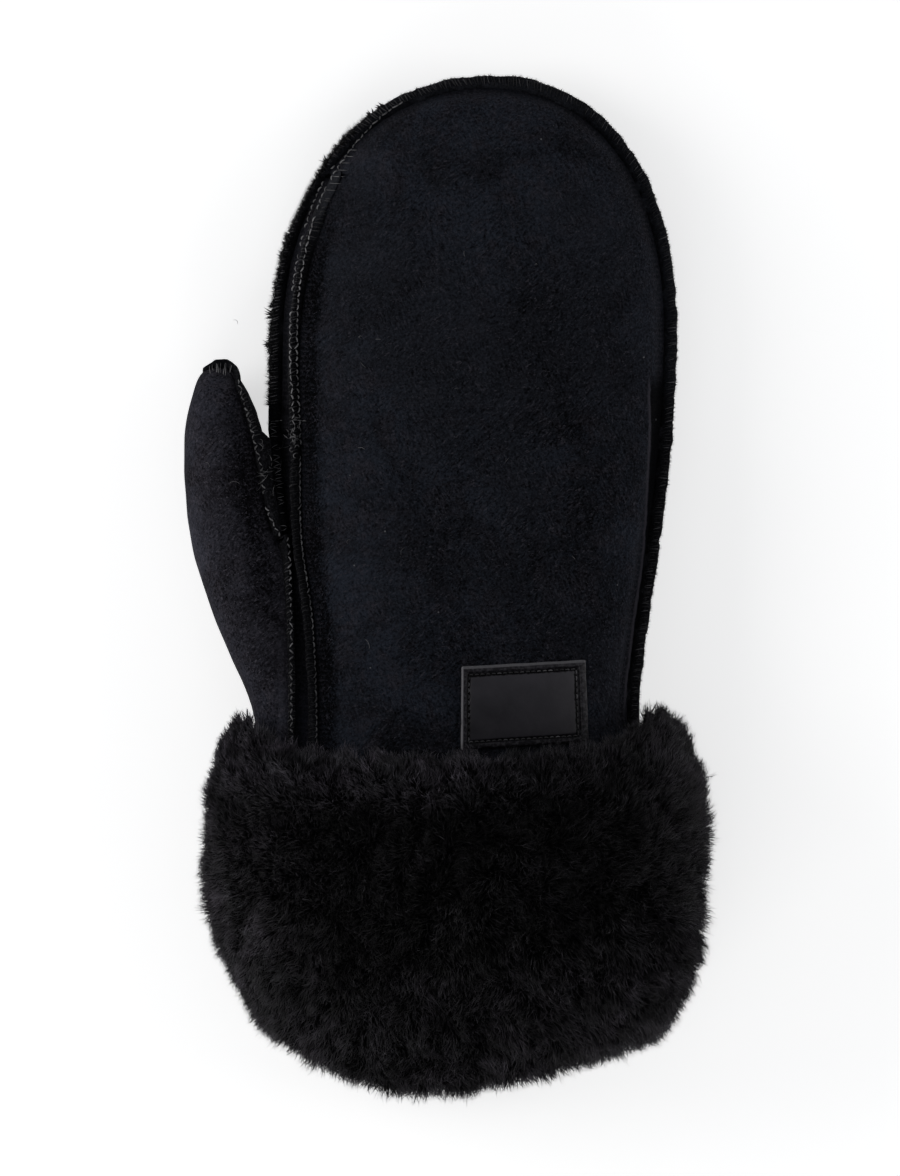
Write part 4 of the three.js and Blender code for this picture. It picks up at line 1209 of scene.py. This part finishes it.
ANGLES_OVER_CREST = (-75, -35, 0, 35, 75)
SEAM_TAPER = np.array([0.07, 0.13, 0.15, 0.13, 0.07])
CREST_SEARCH = np.arange(-2.2, 2.3, 0.4)


def seam_stations(ys, xs, low, high, tree, step, tilt):
    """Stations along the crest of a ridge: where it is, the way it runs and the way it stands."""
    middle = [(eased(ys, xs, y), y, 0.0) for y in np.arange(low, high, 1.5)]
    line, ahead, _ = along_line(middle, step)
    places, ways = [], []
    for point, forward in zip(line, ahead):
        best = None
        for shift in CREST_SEARCH:
            found, _ = dropped(tree, point[0] + shift, point[1])
            if found is not None and (best is None or found[2] > best[2]):
                best = found
        if best is not None:
            places.append(best)
            ways.append(forward)
    places, ways = np.array(places), np.array(ways)
    ways[:, 2] = np.gradient(places[:, 2]) / np.maximum(np.gradient(places[:, 1]), 1e-3)
    ways /= np.linalg.norm(ways, axis=1)[:, None]
    out = np.broadcast_to(np.array(tilt, float), ways.shape)
    out = out - ways * (out * ways).sum(1)[:, None]
    return places, ways, out / np.linalg.norm(out, axis=1)[:, None]


ridge_runs = [
    ("inner_ridge", INNER_Y, INNER_X, -43, 104, (-0.15, 0, 1)),
    ("thumb_base_ridge", OUTER_Y, OUTER_X, -43, 8, (-0.3, 0, 1)),
    ("thumb_ridge", THUMB_SEAM_Y, THUMB_SEAM_X, 39, 53, (0.1, 0, 1)),
]
small_paths = []
for name, ys, xs, low, high, tilt in ridge_runs:
    places, ways, outs = seam_stations(ys, xs, low, high, ridge_trees[name], 1.15, tilt)
    made = whipped(ridge_trees[name], places, ways, outs, -1.2, ANGLES_OVER_CREST, 0.03, 0.6)
    print(name, "stitches:", len(made))
    small_paths.append(made)
small_paths = np.concatenate(small_paths)
small_radii = SEAM_TAPER * rng.uniform(0.6, 1.3, (len(small_paths), 1))
smooth_part = (small_paths[:, 2, 1] < 37) & (small_paths[:, 2, 0] > -41.5)
small_radii[smooth_part] *= 0.5
small_tones = np.where(smooth_part, 0.12, 0.34) * rng.random(len(small_paths)) ** 1.3
seam_stitches = tubes("seam_stitches", small_paths, small_radii, 5, False, small_tones)
finished(seam_stitches, dark_thread, [])

# %% [markdown]
# ## Pale running stitches
#
# Beside the inner seam runs a line of paler stitches, which goes on up the edge towards the
# fingertips. It is double above the cross seam near the thumb, and single below it. More rows run
# down the thumb and over the cross seam, short strokes cross the edge beside the thumb, and a fan
# of stitches gathers the thumb's tip. Each stitch dips into the leather at its ends and arches
# over it in the middle, so it is a path of five points that rays drop onto the leather.

# %% Stitches laid on leather
RISES = (-0.10, 0.16, 0.26, 0.16, -0.10)
SHARES = (-0.5, -0.28, 0.0, 0.28, 0.5)


def laid(tree, places, rises):
    """Points dropped onto a surface, each held above it by its rise, or None if one misses."""
    line = []
    for (x, y), rise in zip(places, rises):
        found, facing = dropped(tree, x, y)
        if found is None:
            return None
        line.append(found + facing * rise)
    return line


def row(ys, xs, low, high, aside=0.0):
    """The line that a row of stitches follows, from one of the tables of the plan."""
    return [(eased(ys, xs, y) + aside, y) for y in np.arange(low, high, 1.0)]


def running_stitches(path, pitch, length, swing, across=False):
    """Short stitches along or across a line, each turned a little its own way."""
    line, ahead, _ = along_line([(x, y, 0.0) for x, y in path], pitch)
    made = []
    for number, (point, forward) in enumerate(zip(line, ahead)):
        if across:
            forward = np.array([forward[1], -forward[0], 0.0])
        own = length * rng.uniform(0.75, 1.2)
        turn = swing * (1 if number % 2 else -1) + rng.normal(0, 0.18)
        turned = forward[:2] + ([0, turn] if across else [turn, 0])
        stitch = laid(top_tree, [point[:2] + turned * share * own for share in SHARES], RISES)
        if stitch and max(s[2] for s in stitch) - min(s[2] for s in stitch) < 1.8:
            made.append(stitch)
    return made


print("points in a stitch:", len(SHARES))

# %% Pale stitches
ROW_Y = (37, 50, 61, 75.4, 86, 95.3, 104, 110, 115.5, 120, 124.3, 127.8, 130)
ROW_X = (-39.9, -40.6, -41.0, -40.6, -39.1, -36.8, -33.6, -30.2, -26.3, -22.6, -18.2, -13.0, -8.6)
THUMB_ROW_Y = (11.5, 16.4, 21.7, 30.4, 37.6, 44.5, 50, 55.5)
THUMB_ROW_X = (-43.6, -46.4, -48.4, -49.4, -51.2, -52.9, -54.6, -56.0)
LADDER_Y, LADDER_X = (13, 17.2, 31, 38.4, 44), (-43.4, -43.8, -45.2, -46.2, -46.4)
CROSS_SEAM = [(-47.2, 43.2), (-42.0, 43.8), (-37.6, 43.4)]
THIN, FAN_STITCHES = 0.52, 17
FAN_SHARES, FAN_RISES = (0.0, 0.3, 0.55, 0.8, 1.0), (-0.1, 0.14, 0.16, 0.12, -0.1)
PALE_TAPER = np.array([0.09, 0.18, 0.21, 0.18, 0.09])
pale_paths = running_stitches(row(INNER_Y, INNER_X, -55, 36, 0.15), 1.6, 1.5, 0.14)
pale_paths += running_stitches(row(OUTER_Y, OUTER_X, -50, 15, -0.3), 1.75, 1.2, 0.5)
pale_paths += running_stitches(row(THUMB_ROW_Y, THUMB_ROW_X, 11.5, 55), 1.5, 1.2, 0.6)
pale_paths += running_stitches(row(ROW_Y, ROW_X, 37, 129, 0.75), 1.7, 1.35, 0.25)
pale_paths += running_stitches(row(ROW_Y, ROW_X, 37, 113, -0.8), 1.7, 1.35, -0.25)
thin_start = len(pale_paths)
pale_paths += running_stitches(row(LADDER_Y, LADDER_X, 13.5, 44), 0.85, 2.1, 0.3, True)
pale_paths += running_stitches(CROSS_SEAM, 1.2, 1.1, 0.2)
fan_start = len(pale_paths)
for x in np.arange(-66.8, -55.2, 0.72) + rng.normal(0, 0.22, FAN_STITCHES):
    fan = (x + 61.0) * 0.14 + rng.normal(0, 0.22)
    short = rng.uniform(1.6, 3.8)
    top = 59.0 - 0.045 * (x + 60) ** 2
    places = []
    for share in FAN_SHARES:
        places.append((x - fan * (share - 0.5) + rng.normal(0, 0.06), top - short * share))
    stitch = laid(top_tree, places, FAN_RISES)
    if stitch:
        pale_paths.append(stitch)
pale_paths = np.array(pale_paths)
pale_radii = PALE_TAPER * rng.uniform(0.7, 1.2, (len(pale_paths), 1))
pale_radii[thin_start:] *= THIN
above_joint = (pale_paths[:, 2, 1] > 44) & (pale_paths[:, 2, 0] > -47)
bright_tones = 0.35 + 0.65 * rng.random(len(pale_paths))
pale_tones = np.where(above_joint, bright_tones, 0.55 * rng.random(len(pale_paths)))
pale_tones[thin_start:fan_start] = 0.15 + 0.75 * rng.random(fan_start - thin_start)
pale_stitches = tubes("pale_stitches", pale_paths, pale_radii, 5, False, pale_tones)
finished(pale_stitches, pale_thread, [])
print("pale stitches:", len(pale_paths))

# %% [markdown]
# ## The label
#
# The label is a smooth leather patch with a raised, worn frame and a line of stitches sunk in a
# groove. Its face is bare. The copy of its solid is rounded, and two attributes say where each
# point is, from the label's middle to its right and upwards, so that the finish can draw the
# frame, its painted light and the painted shade in the groove. The hand's curve skews the label a
# little, so one helper shifts the mesh and the stitches alike. The stitches follow the groove's
# four sides.

# %% Label


def drawn(u, v):
    """How the curve of the hand draws the label's corners: a small shift at each place on it."""
    right, top = u / LABEL_SIZE[0] + 0.5, v / LABEL_SIZE[1] + 0.5
    across = (1 - right) * (top * 0.6 - (1 - top) * 1.1)
    across = across - right * (1 - top) * 0.9 - right * top * 0.1
    along = -(1 - right) * (top * 0.4 + (1 - top) * 0.6) - right * 1.0
    return across, along


def on_label(u, v):
    """A place on the label, from its middle, turned as the label is."""
    c, s = math.cos(LABEL_TURN), math.sin(LABEL_TURN)
    across, along = drawn(u, v)
    return LABEL_AT[0] + u * c - v * s + across, LABEL_AT[1] + u * s + v * c + along


label_mesh = smooth_copy("label", "bare_label", 2, 0.35)
label_points = points_of(label_mesh)
offset = label_points[:, :2] - np.array(LABEL_AT)
turned_u = offset[:, 0] * math.cos(LABEL_TURN) + offset[:, 1] * math.sin(LABEL_TURN)
turned_v = -offset[:, 0] * math.sin(LABEL_TURN) + offset[:, 1] * math.cos(LABEL_TURN)
label_points += normals_of(label_mesh) * (0.10 * waves(label_points, 5.5, 21.0))[:, None]
across, along = drawn(turned_u, turned_v)
label_points[:, 0] += across
label_points[:, 1] += along
set_points(label_mesh, label_points)
set_attribute(label_mesh, "label_u", turned_u)
set_attribute(label_mesh, "label_v", turned_v)
label = finished(label_mesh, label_finish, ["label"])

# %% Stitches of the label
GROOVE_INSET, LABEL_PITCH = 1.95, 1.55
LABEL_SHARES, LABEL_RISES = (0.10, 0.3, 0.5, 0.7, 0.90), (-0.15, 0.16, 0.22, 0.16, -0.15)
LABEL_TAPER = 0.8 * np.array([0.10, 0.19, 0.21, 0.19, 0.10])
label_tree = surface_tree(label)
corners = [(-1, -1), (1, -1), (1, 1), (-1, 1), (-1, -1)]
half_u, half_v = LABEL_SIZE[0] / 2 - GROOVE_INSET, LABEL_SIZE[1] / 2 - GROOVE_INSET
groove_corners = [(half_u * a, half_v * b) for a, b in corners]
label_paths = []
for (u0, v0), (u1, v1) in zip(groove_corners, groove_corners[1:]):
    number = round(math.hypot(u1 - u0, v1 - v0) / LABEL_PITCH)
    for n in range(number):
        shares = [(n + share) / number for share in LABEL_SHARES]
        places = [on_label(u0 + (u1 - u0) * t, v0 + (v1 - v0) * t) for t in shares]
        label_paths.append(laid(label_tree, places, LABEL_RISES))
label_paths = np.array(label_paths)
label_radii = np.broadcast_to(LABEL_TAPER, label_paths.shape[:2])
label_tones = 0.15 + 0.85 * (rng.random(len(label_paths)) ** 3)
label_stitches = tubes("label_stitches", label_paths, label_radii, 6, False, label_tones)
finished(label_stitches, dark_thread, [])
print("label stitches:", len(label_paths))

# %% [markdown]
# ## The wool of the cuff
#
# The cuff is sheepskin turned wool side out: a dense pile of fine curly hairs that gather in small
# locks. A particle system would not survive an export, so the pile is made of real tubes in two
# steps. First the solid's pointed locks are smoothed to soft lumps, which become the dark
# undercoat. Then hairs grow from the undercoat. Each leans with its neighbours, drawn to the
# middle of its own lock, so that the pile parts into tufts with dark valleys between them.

# %% Undercoat
rough_cuff = merged("fur_cuff")
for _ in range(6):
    bmesh.ops.smooth_vert(rough_cuff, verts=rough_cuff.verts, factor=0.5, **EVERY_AXIS)
coat_mesh = rounded(rough_cuff, "wool_undercoat", 1)
coat_points = points_of(coat_mesh)
lumps = 0.9 * waves(coat_points, 12, 30.0) + 0.5 * waves(coat_points, 2.4, 31.0) - 0.7
coat_points += normals_of(coat_mesh) * lumps[:, None]
x, y = coat_points[:, 0].copy(), coat_points[:, 1].copy()
corner = np.exp(-(((y + 112) / 17) ** 2))
wider = 0.035 * np.exp(-(((y + 57) / 13) ** 2)) + 0.028 * np.exp(-(((y + 93) / 9) ** 2))
coat_points[:, 0] *= 1 - np.where(x < 0, 0.075 * corner, -0.055 * corner - wider)
coat_points[:, 1] -= 4.6 * np.exp(-(((x + 12) / 33) ** 2)) * ramped(y, -108, -122)
raised = 5.0 * np.exp(-(((x + 53) / 5) ** 2)) + 1.8 * np.exp(-(((x - 55) / 5) ** 2))
coat_points[:, 1] += raised * ramped(y, -62, -50)
coat_points[:, 2] = np.maximum(coat_points[:, 2], 0.0)
set_points(coat_mesh, coat_points)
finished(coat_mesh, undercoat_finish, ["fur_cuff"])

# %% Where hairs grow


def growing_places(mesh, number, seed):
    """Scattered places on the undercoat where hair can be seen, with the way the surface faces."""
    mesh.calc_loop_triangles()
    triangles = np.empty(len(mesh.loop_triangles) * 3, np.int32)
    mesh.loop_triangles.foreach_get("vertices", triangles)
    triangles = triangles.reshape(-1, 3)
    points, normals = points_of(mesh), normals_of(mesh)
    corners = points[triangles]
    middle = corners.mean(1)
    cross = np.cross(corners[:, 1] - corners[:, 0], corners[:, 2] - corners[:, 0])
    area = np.linalg.norm(cross, axis=1) / 2
    facing = cross / np.maximum(2 * area, 1e-9)[:, None]
    weight = np.where(facing[:, 2] > -0.25, 1.0, 0.45)
    weight = np.where((middle[:, 2] < 1.5) & (facing[:, 2] < -0.6), 0.05, weight)
    for n in range(len(triangles)):
        if met(skin_tree, middle[n] + facing[n] * 0.4, facing[n], 7.0)[0] is not None:
            weight[n] = 0.0
    chance = area * weight
    local = np.random.default_rng(seed)
    picked = local.choice(len(triangles), number, p=chance / chance.sum())
    a, b = local.random((2, number))
    over = a + b > 1
    a, b = np.where(over, 1 - a, a), np.where(over, 1 - b, b)
    share = np.stack([1 - a - b, a, b], 1)[:, :, None]
    place = (points[triangles[picked]] * share).sum(1)
    way = (normals[triangles[picked]] * share).sum(1)
    print("open area, mm2:", round(float((area * (weight > 0)).sum())))
    return place, way / np.linalg.norm(way, axis=1)[:, None]


CURVED, STRAIGHT = 25000, 100000
LEAN_Y, LEANS = (-131, -112, -92, -70, -58, -50), (-0.5, -0.95, -0.55, 0.0, 0.45, 1.0)
HAIRS = CURVED + STRAIGHT
roots, faces_out = growing_places(coat_mesh, HAIRS, 51)


def lean_at(points, normals):
    """Which way the pile lies: up over the suede at the near edge, and down towards the mouth."""
    lean = np.zeros_like(points)
    x, y = points[:, 0], points[:, 1]
    side = np.abs(x) / 66
    lean[:, 1] = np.interp(y, LEAN_Y, LEANS)
    lean[:, 1] += np.clip((side - 0.6) * 2.2, 0, 0.9) * np.interp(y, (-80, -55), (-0.2, 1.0))
    lean[:, 0] = 0.45 * x / 66
    swirl = math.pi * 2.0 * waves(points, 9, 61.0)
    strength = 0.30 + 0.45 * (0.5 + waves(points, 24, 62.0))
    lean[:, 0] += strength * np.cos(swirl)
    lean[:, 1] += strength * np.sin(swirl)
    lean[:, 2] = 0.3 * waves(points, 6, 63.0)
    return lean - normals * (lean * normals).sum(1)[:, None]


def grown(places, normals, leans, lengths, curl, steps, local):
    """Paths of hairs that start along the normal, bend over with their lean and curl."""
    count = len(places)
    path = [places]
    for k in range(1, steps):
        bend = (k - 0.5) / (steps - 1)
        way = normals * (1.1 - 0.6 * bend) + leans * (0.3 + 1.1 * bend)
        way /= np.linalg.norm(way, axis=1)[:, None]
        path.append(path[-1] + way * (lengths / (steps - 1))[:, None])
    path = np.stack(path, 1)
    side = np.cross(normals, leans + local.normal(0, 0.3, (count, 3)))
    side /= np.maximum(np.linalg.norm(side, axis=1), 1e-9)[:, None]
    other = np.cross(normals, side)
    start = local.random(count) * 2 * math.pi
    for k in range(1, steps):
        turn = start + k * 2.1
        push = curl * (k / (steps - 1)) ** 0.5
        path[:, k] += push * (side * np.cos(turn)[:, None] + other * np.sin(turn)[:, None])
    return path


# %% Locks and hairs
PILE_Y, PILE_LENGTHS = (-131, -120, -70, -52, -46), (4.8, 5.6, 5.2, 5.0, 4.4)
SUEDE_STARTS = -52
pile_rng = np.random.default_rng(71)
leans = lean_at(roots, faces_out) + pile_rng.normal(0, 0.55, roots.shape)
lengths = np.interp(roots[:, 1], PILE_Y, PILE_LENGTHS)
lengths = lengths * (1 + 0.25 * waves(roots, 6, 72.0)) * pile_rng.uniform(0.55, 1.15, HAIRS)
lengths[roots[:, 0] < -48] *= 0.8
LOCKS, STEPS = 9000, 4
lock_index = pile_rng.choice(HAIRS, LOCKS, replace=False)
lock_places, lock_facing = roots[lock_index], faces_out[lock_index]
lock_leans, lock_lengths = leans[lock_index], lengths[lock_index]
lock_paths = grown(lock_places, lock_facing, lock_leans, lock_lengths, 0.7, STEPS, pile_rng)
lock_tree = kdtree.KDTree(LOCKS)
for n, index in enumerate(lock_index):
    lock_tree.insert(roots[index], n)
lock_tree.balance()
own_lock = np.array([lock_tree.find(p)[1] for p in roots])
hold = (0.05 + 0.45 * pile_rng.random(LOCKS))[own_lock]
hairs = grown(roots, faces_out, leans, lengths, 0.32, STEPS, pile_rng)
for k in range(1, STEPS):
    share = (hold * (k / (STEPS - 1)) ** 1.3)[:, None]
    hairs[:, k] = hairs[:, k] * (1 - share) + lock_paths[own_lock, k] * share

near_suede = np.nonzero(hairs[:, :, 1].max(1) > SUEDE_STARTS)[0]
for n in near_suede:
    for k in range(1, STEPS):
        under, _ = met(skin_tree, (hairs[n, k, 0], hairs[n, k, 1], 80), (0, 0, -1), 100)
        if under is not None and roots[n, 2] > 20:
            hairs[n, k, 2] = max(hairs[n, k, 2], under[2] + 0.25)
hairs[:, :, 2] = np.maximum(hairs[:, :, 2], 0.15)
print("hairs near the suede:", len(near_suede))

# %% The pile in banks
BANKS = 4
kinds = {
    "curved": (np.arange(HAIRS) < CURVED, (0, 2, 3), (0.115, 0.085, 0.0)),
    "straight": (np.arange(HAIRS) >= CURVED, (0, 3), (0.125, 0.0)),
}
hair_width = pile_rng.uniform(0.7, 1.25, HAIRS)
hair_tones = pile_rng.random(HAIRS) * 0.8 + 0.2 * pile_rng.random(LOCKS)[own_lock]
for number, bank in enumerate(np.array_split(np.argsort(roots[:, 0], kind="stable"), BANKS)):
    for kind, (member, kept, taper) in kinds.items():
        chosen = bank[member[bank]]
        radii = np.array(taper)[None] * hair_width[chosen][:, None]
        name = f"{kind}_pile_{number + 1}"
        pile = tubes(name, hairs[chosen][:, kept], radii, 3, True, hair_tones[chosen])
        finished(pile, cuff_wool, ["fur_cuff"])

# %% [markdown]
# ## Fibres along the cut edges
#
# Wool fibres stick out between the two cut edges. They are long and ragged on the left edge above
# the thumb, where the edge is torn and thick tufts stand out of it, and a short fuzz elsewhere.

# %% Edge fibres
fibre_rng = np.random.default_rng(81)


def edge_fibres(number, low, high, left, length, spread):
    """Short hairs along the edge seam between two heights of the picture."""
    side = edge_at[:, 0] < 6 if left else edge_at[:, 0] >= 6
    chosen = np.nonzero(side & (edge_at[:, 1] >= low) & (edge_at[:, 1] <= high))[0]
    picked = fibre_rng.choice(chosen, number)
    angle = np.radians(fibre_rng.uniform(-65, 70, number))
    way = edge_out[picked] * np.cos(angle)[:, None]
    way[:, 2] = np.sin(angle)
    shift = edge_ahead[picked] * fibre_rng.uniform(-0.5, 0.5, number)[:, None]
    out_by = fibre_rng.uniform(0.6, 2.4, number)[:, None]
    start = edge_at[picked] + edge_out[picked] * out_by + shift
    places, facings = [], []
    for point, out in zip(start, way):
        found, facing = met(ridge_trees["edge_ridge"], point + out * 6, -out, 8)
        places.append(found if found is not None else point * np.nan)
        facings.append(facing if found is not None else out)
    places, facings = np.array(places), np.array(facings)
    good = np.isfinite(places[:, 0])
    places, facings, way = places[good], facings[good], way[good]
    lean = edge_ahead[picked][good] * fibre_rng.normal(0, spread, good.sum())[:, None] + way * 0.4
    size = length * fibre_rng.uniform(0.45, 1.25, good.sum()) ** 1.4
    paths = grown(places - facings * 0.1, (facings + way) / 2, lean, size, 0.12, 4, fibre_rng)
    return paths[:, (0, 3)]


fibre_sets = [
    edge_fibres(3400, 44, 118, True, 1.5, 0.8),
    edge_fibres(900, 84, 122, True, 1.7, 0.9),
    edge_fibres(2200, 44, 134, True, 0.8, 0.7),
    edge_fibres(4200, -36, 134, False, 0.75, 0.7),
]
fringe = np.concatenate(fibre_sets)
print("fibres along the edge:", len(fringe))

# %% Tufts of wool in the torn edge
TUFTS, FIBRES_IN_TUFT, TUFT_THICKNESS = 56, 7, 4.6
torn_edge = np.nonzero((edge_at[:, 0] < -16) & (edge_at[:, 1] > 56))[0]
tuft_at = fibre_rng.choice(torn_edge, TUFTS)
tuft_angle = fibre_rng.uniform(-0.5, 0.5, TUFTS)
tufts = []
for station, angle in zip(tuft_at, tuft_angle):
    out, ahead = edge_out[station], edge_ahead[station]
    centre = edge_at[station] + [0, 0, fibre_rng.uniform(-1.2, 1.6)]
    found, _ = met(ridge_trees["edge_ridge"], centre + out * 6, -out, 9)
    if found is None:
        continue
    long = fibre_rng.uniform(0.6, 2.3)
    for _ in range(FIBRES_IN_TUFT):
        start = found - out * 0.3 + ahead * fibre_rng.normal(0, 0.3)
        start += [0, 0, fibre_rng.normal(0, 0.25)]
        way = out + ahead * (angle + fibre_rng.normal(0, 0.35))
        way += [0, 0, fibre_rng.normal(0, 0.3)]
        tufts.append([start, start + way * long * fibre_rng.uniform(0.6, 1.2)])
print("fibres in tufts:", len(tufts))
fibre_paths = np.concatenate([fringe, np.array(tufts)])
fibre_paths[:, :, 2] = np.maximum(fibre_paths[:, :, 2], 0.1)
fibre_radii = np.array([0.085, 0.0])[None] * fibre_rng.uniform(0.7, 1.2, len(fibre_paths))[:, None]
fibre_radii[-len(tufts):] *= TUFT_THICKNESS
fibre_tones = fibre_rng.random(len(fibre_paths))
fibre_tones[-len(tufts):] *= 0.3
fibre_mesh = tubes("edge_fibres", fibre_paths, fibre_radii, 3, True, fibre_tones)
finished(fibre_mesh, edge_wool, [])

# %% [markdown]
# ## Lint and loose threads
#
# Black suede never stays clean. About fifteen curled fibres lie on the nap, and as many ends of
# thread hang loose where the thumb leaves the hand. A small knot ends the cross seam, and a few
# strokes cross the end of the inner seam. Each is a tube along points dropped onto the leather.

# %% Lint and loose threads
lint_rng = np.random.default_rng(93)


def strand_over(x, y, heading, length, curl, lift, steps=7):
    """A thread lying on the mitten from one place, turning as it goes."""
    line = []
    for k in range(steps):
        found, _ = dropped(top_tree, x, y)
        if found is None:
            found = line[-1] + [0, 0, -0.3] if line else np.array([x, y, 20.0])
        high = lift * (0.4 + math.sin(math.pi * k / (steps - 1)))
        line.append(np.array([x, y, found[2] + high]))
        heading += curl * lint_rng.uniform(0.5, 1.4)
        x, y = x + math.cos(heading) * length / steps, y + math.sin(heading) * length / steps
    return line


LINT = (
    (-56.0, 69.0, 0.4, 2.4, 0.5), (-12.6, 8.0, 1.9, 3.0, -0.25), (-21.0, -17.0, 1.2, 3.6, 0.2),
    (-26.0, 12.0, 2.6, 2.2, 0.4), (-58.0, 27.0, 0.7, 3.6, -0.25), (-63.5, 31.0, 0.9, 2.6, 0.35),
)
SEAM_END_STROKES = (
    (-32.6, 104.6, 3.4), (-31.6, 106.4, 3.8), (-30.7, 108.2, 3.9), (-29.6, 109.9, 3.2),
    (-28.9, 111.8, 3.4), (-27.6, 113.5, 2.8), (-26.6, 115.2, 2.8),
)
LINT_TAPER = np.array([0.02, 0.04, 0.05, 0.05, 0.05, 0.04, 0.02])
MORE_LINT, LOOSE_ENDS, KNOT_LOOPS, KNOT_THICKNESS = 9, 16, 14, 2.6
threads = [strand_over(*place, 0.25) for place in LINT]
for _ in range(MORE_LINT):
    x, y = lint_rng.uniform(-28, 44), lint_rng.uniform(-25, 112)
    heading, length = lint_rng.uniform(0, 6.3), lint_rng.uniform(1.2, 2.6)
    threads.append(strand_over(x, y, heading, length, lint_rng.normal(0, 0.5), 0.2))
for _ in range(LOOSE_ENDS):
    x, y = lint_rng.uniform(-50.5, -45.5), lint_rng.uniform(26, 43)
    heading, length = lint_rng.normal(-1.2, 0.9), lint_rng.uniform(2.0, 5.5)
    threads.append(strand_over(x, y, heading, length, lint_rng.normal(0, 0.35), 0.5))
knot_start = len(threads)
threads += [strand_over(x, y, -0.1, length, 0.02, 0.3) for x, y, length in SEAM_END_STROKES]
for _ in range(KNOT_LOOPS):
    x, y = lint_rng.normal(-40.6, 1.1), lint_rng.normal(39.5, 1.8)
    heading, length = lint_rng.uniform(0, 6.3), lint_rng.uniform(1.6, 3.0)
    threads.append(strand_over(x, y, heading, length, lint_rng.normal(0, 0.9), 0.45))
threads = np.array(threads)
thread_radii = LINT_TAPER * lint_rng.uniform(0.7, 1.3, (len(threads), 1))
thread_radii[knot_start:] *= KNOT_THICKNESS
thread_radii[knot_start:knot_start + len(SEAM_END_STROKES)] *= 0.5
thread_tones = 0.05 + 0.5 * lint_rng.random(len(threads))
lint = tubes("lint_threads", threads, thread_radii, 4, False, thread_tones)
finished(lint, pale_thread, [])
print("threads and lint:", len(threads))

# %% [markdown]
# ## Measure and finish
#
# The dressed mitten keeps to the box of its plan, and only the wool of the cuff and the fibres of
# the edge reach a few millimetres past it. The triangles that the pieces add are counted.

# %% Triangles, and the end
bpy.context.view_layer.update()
added = 0
for piece in scene.objects:
    if piece.type == "MESH" and "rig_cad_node" not in piece and piece != floor:
        piece.data.calc_loop_triangles()
        added += len(piece.data.loop_triangles)
print("triangles added:", added)
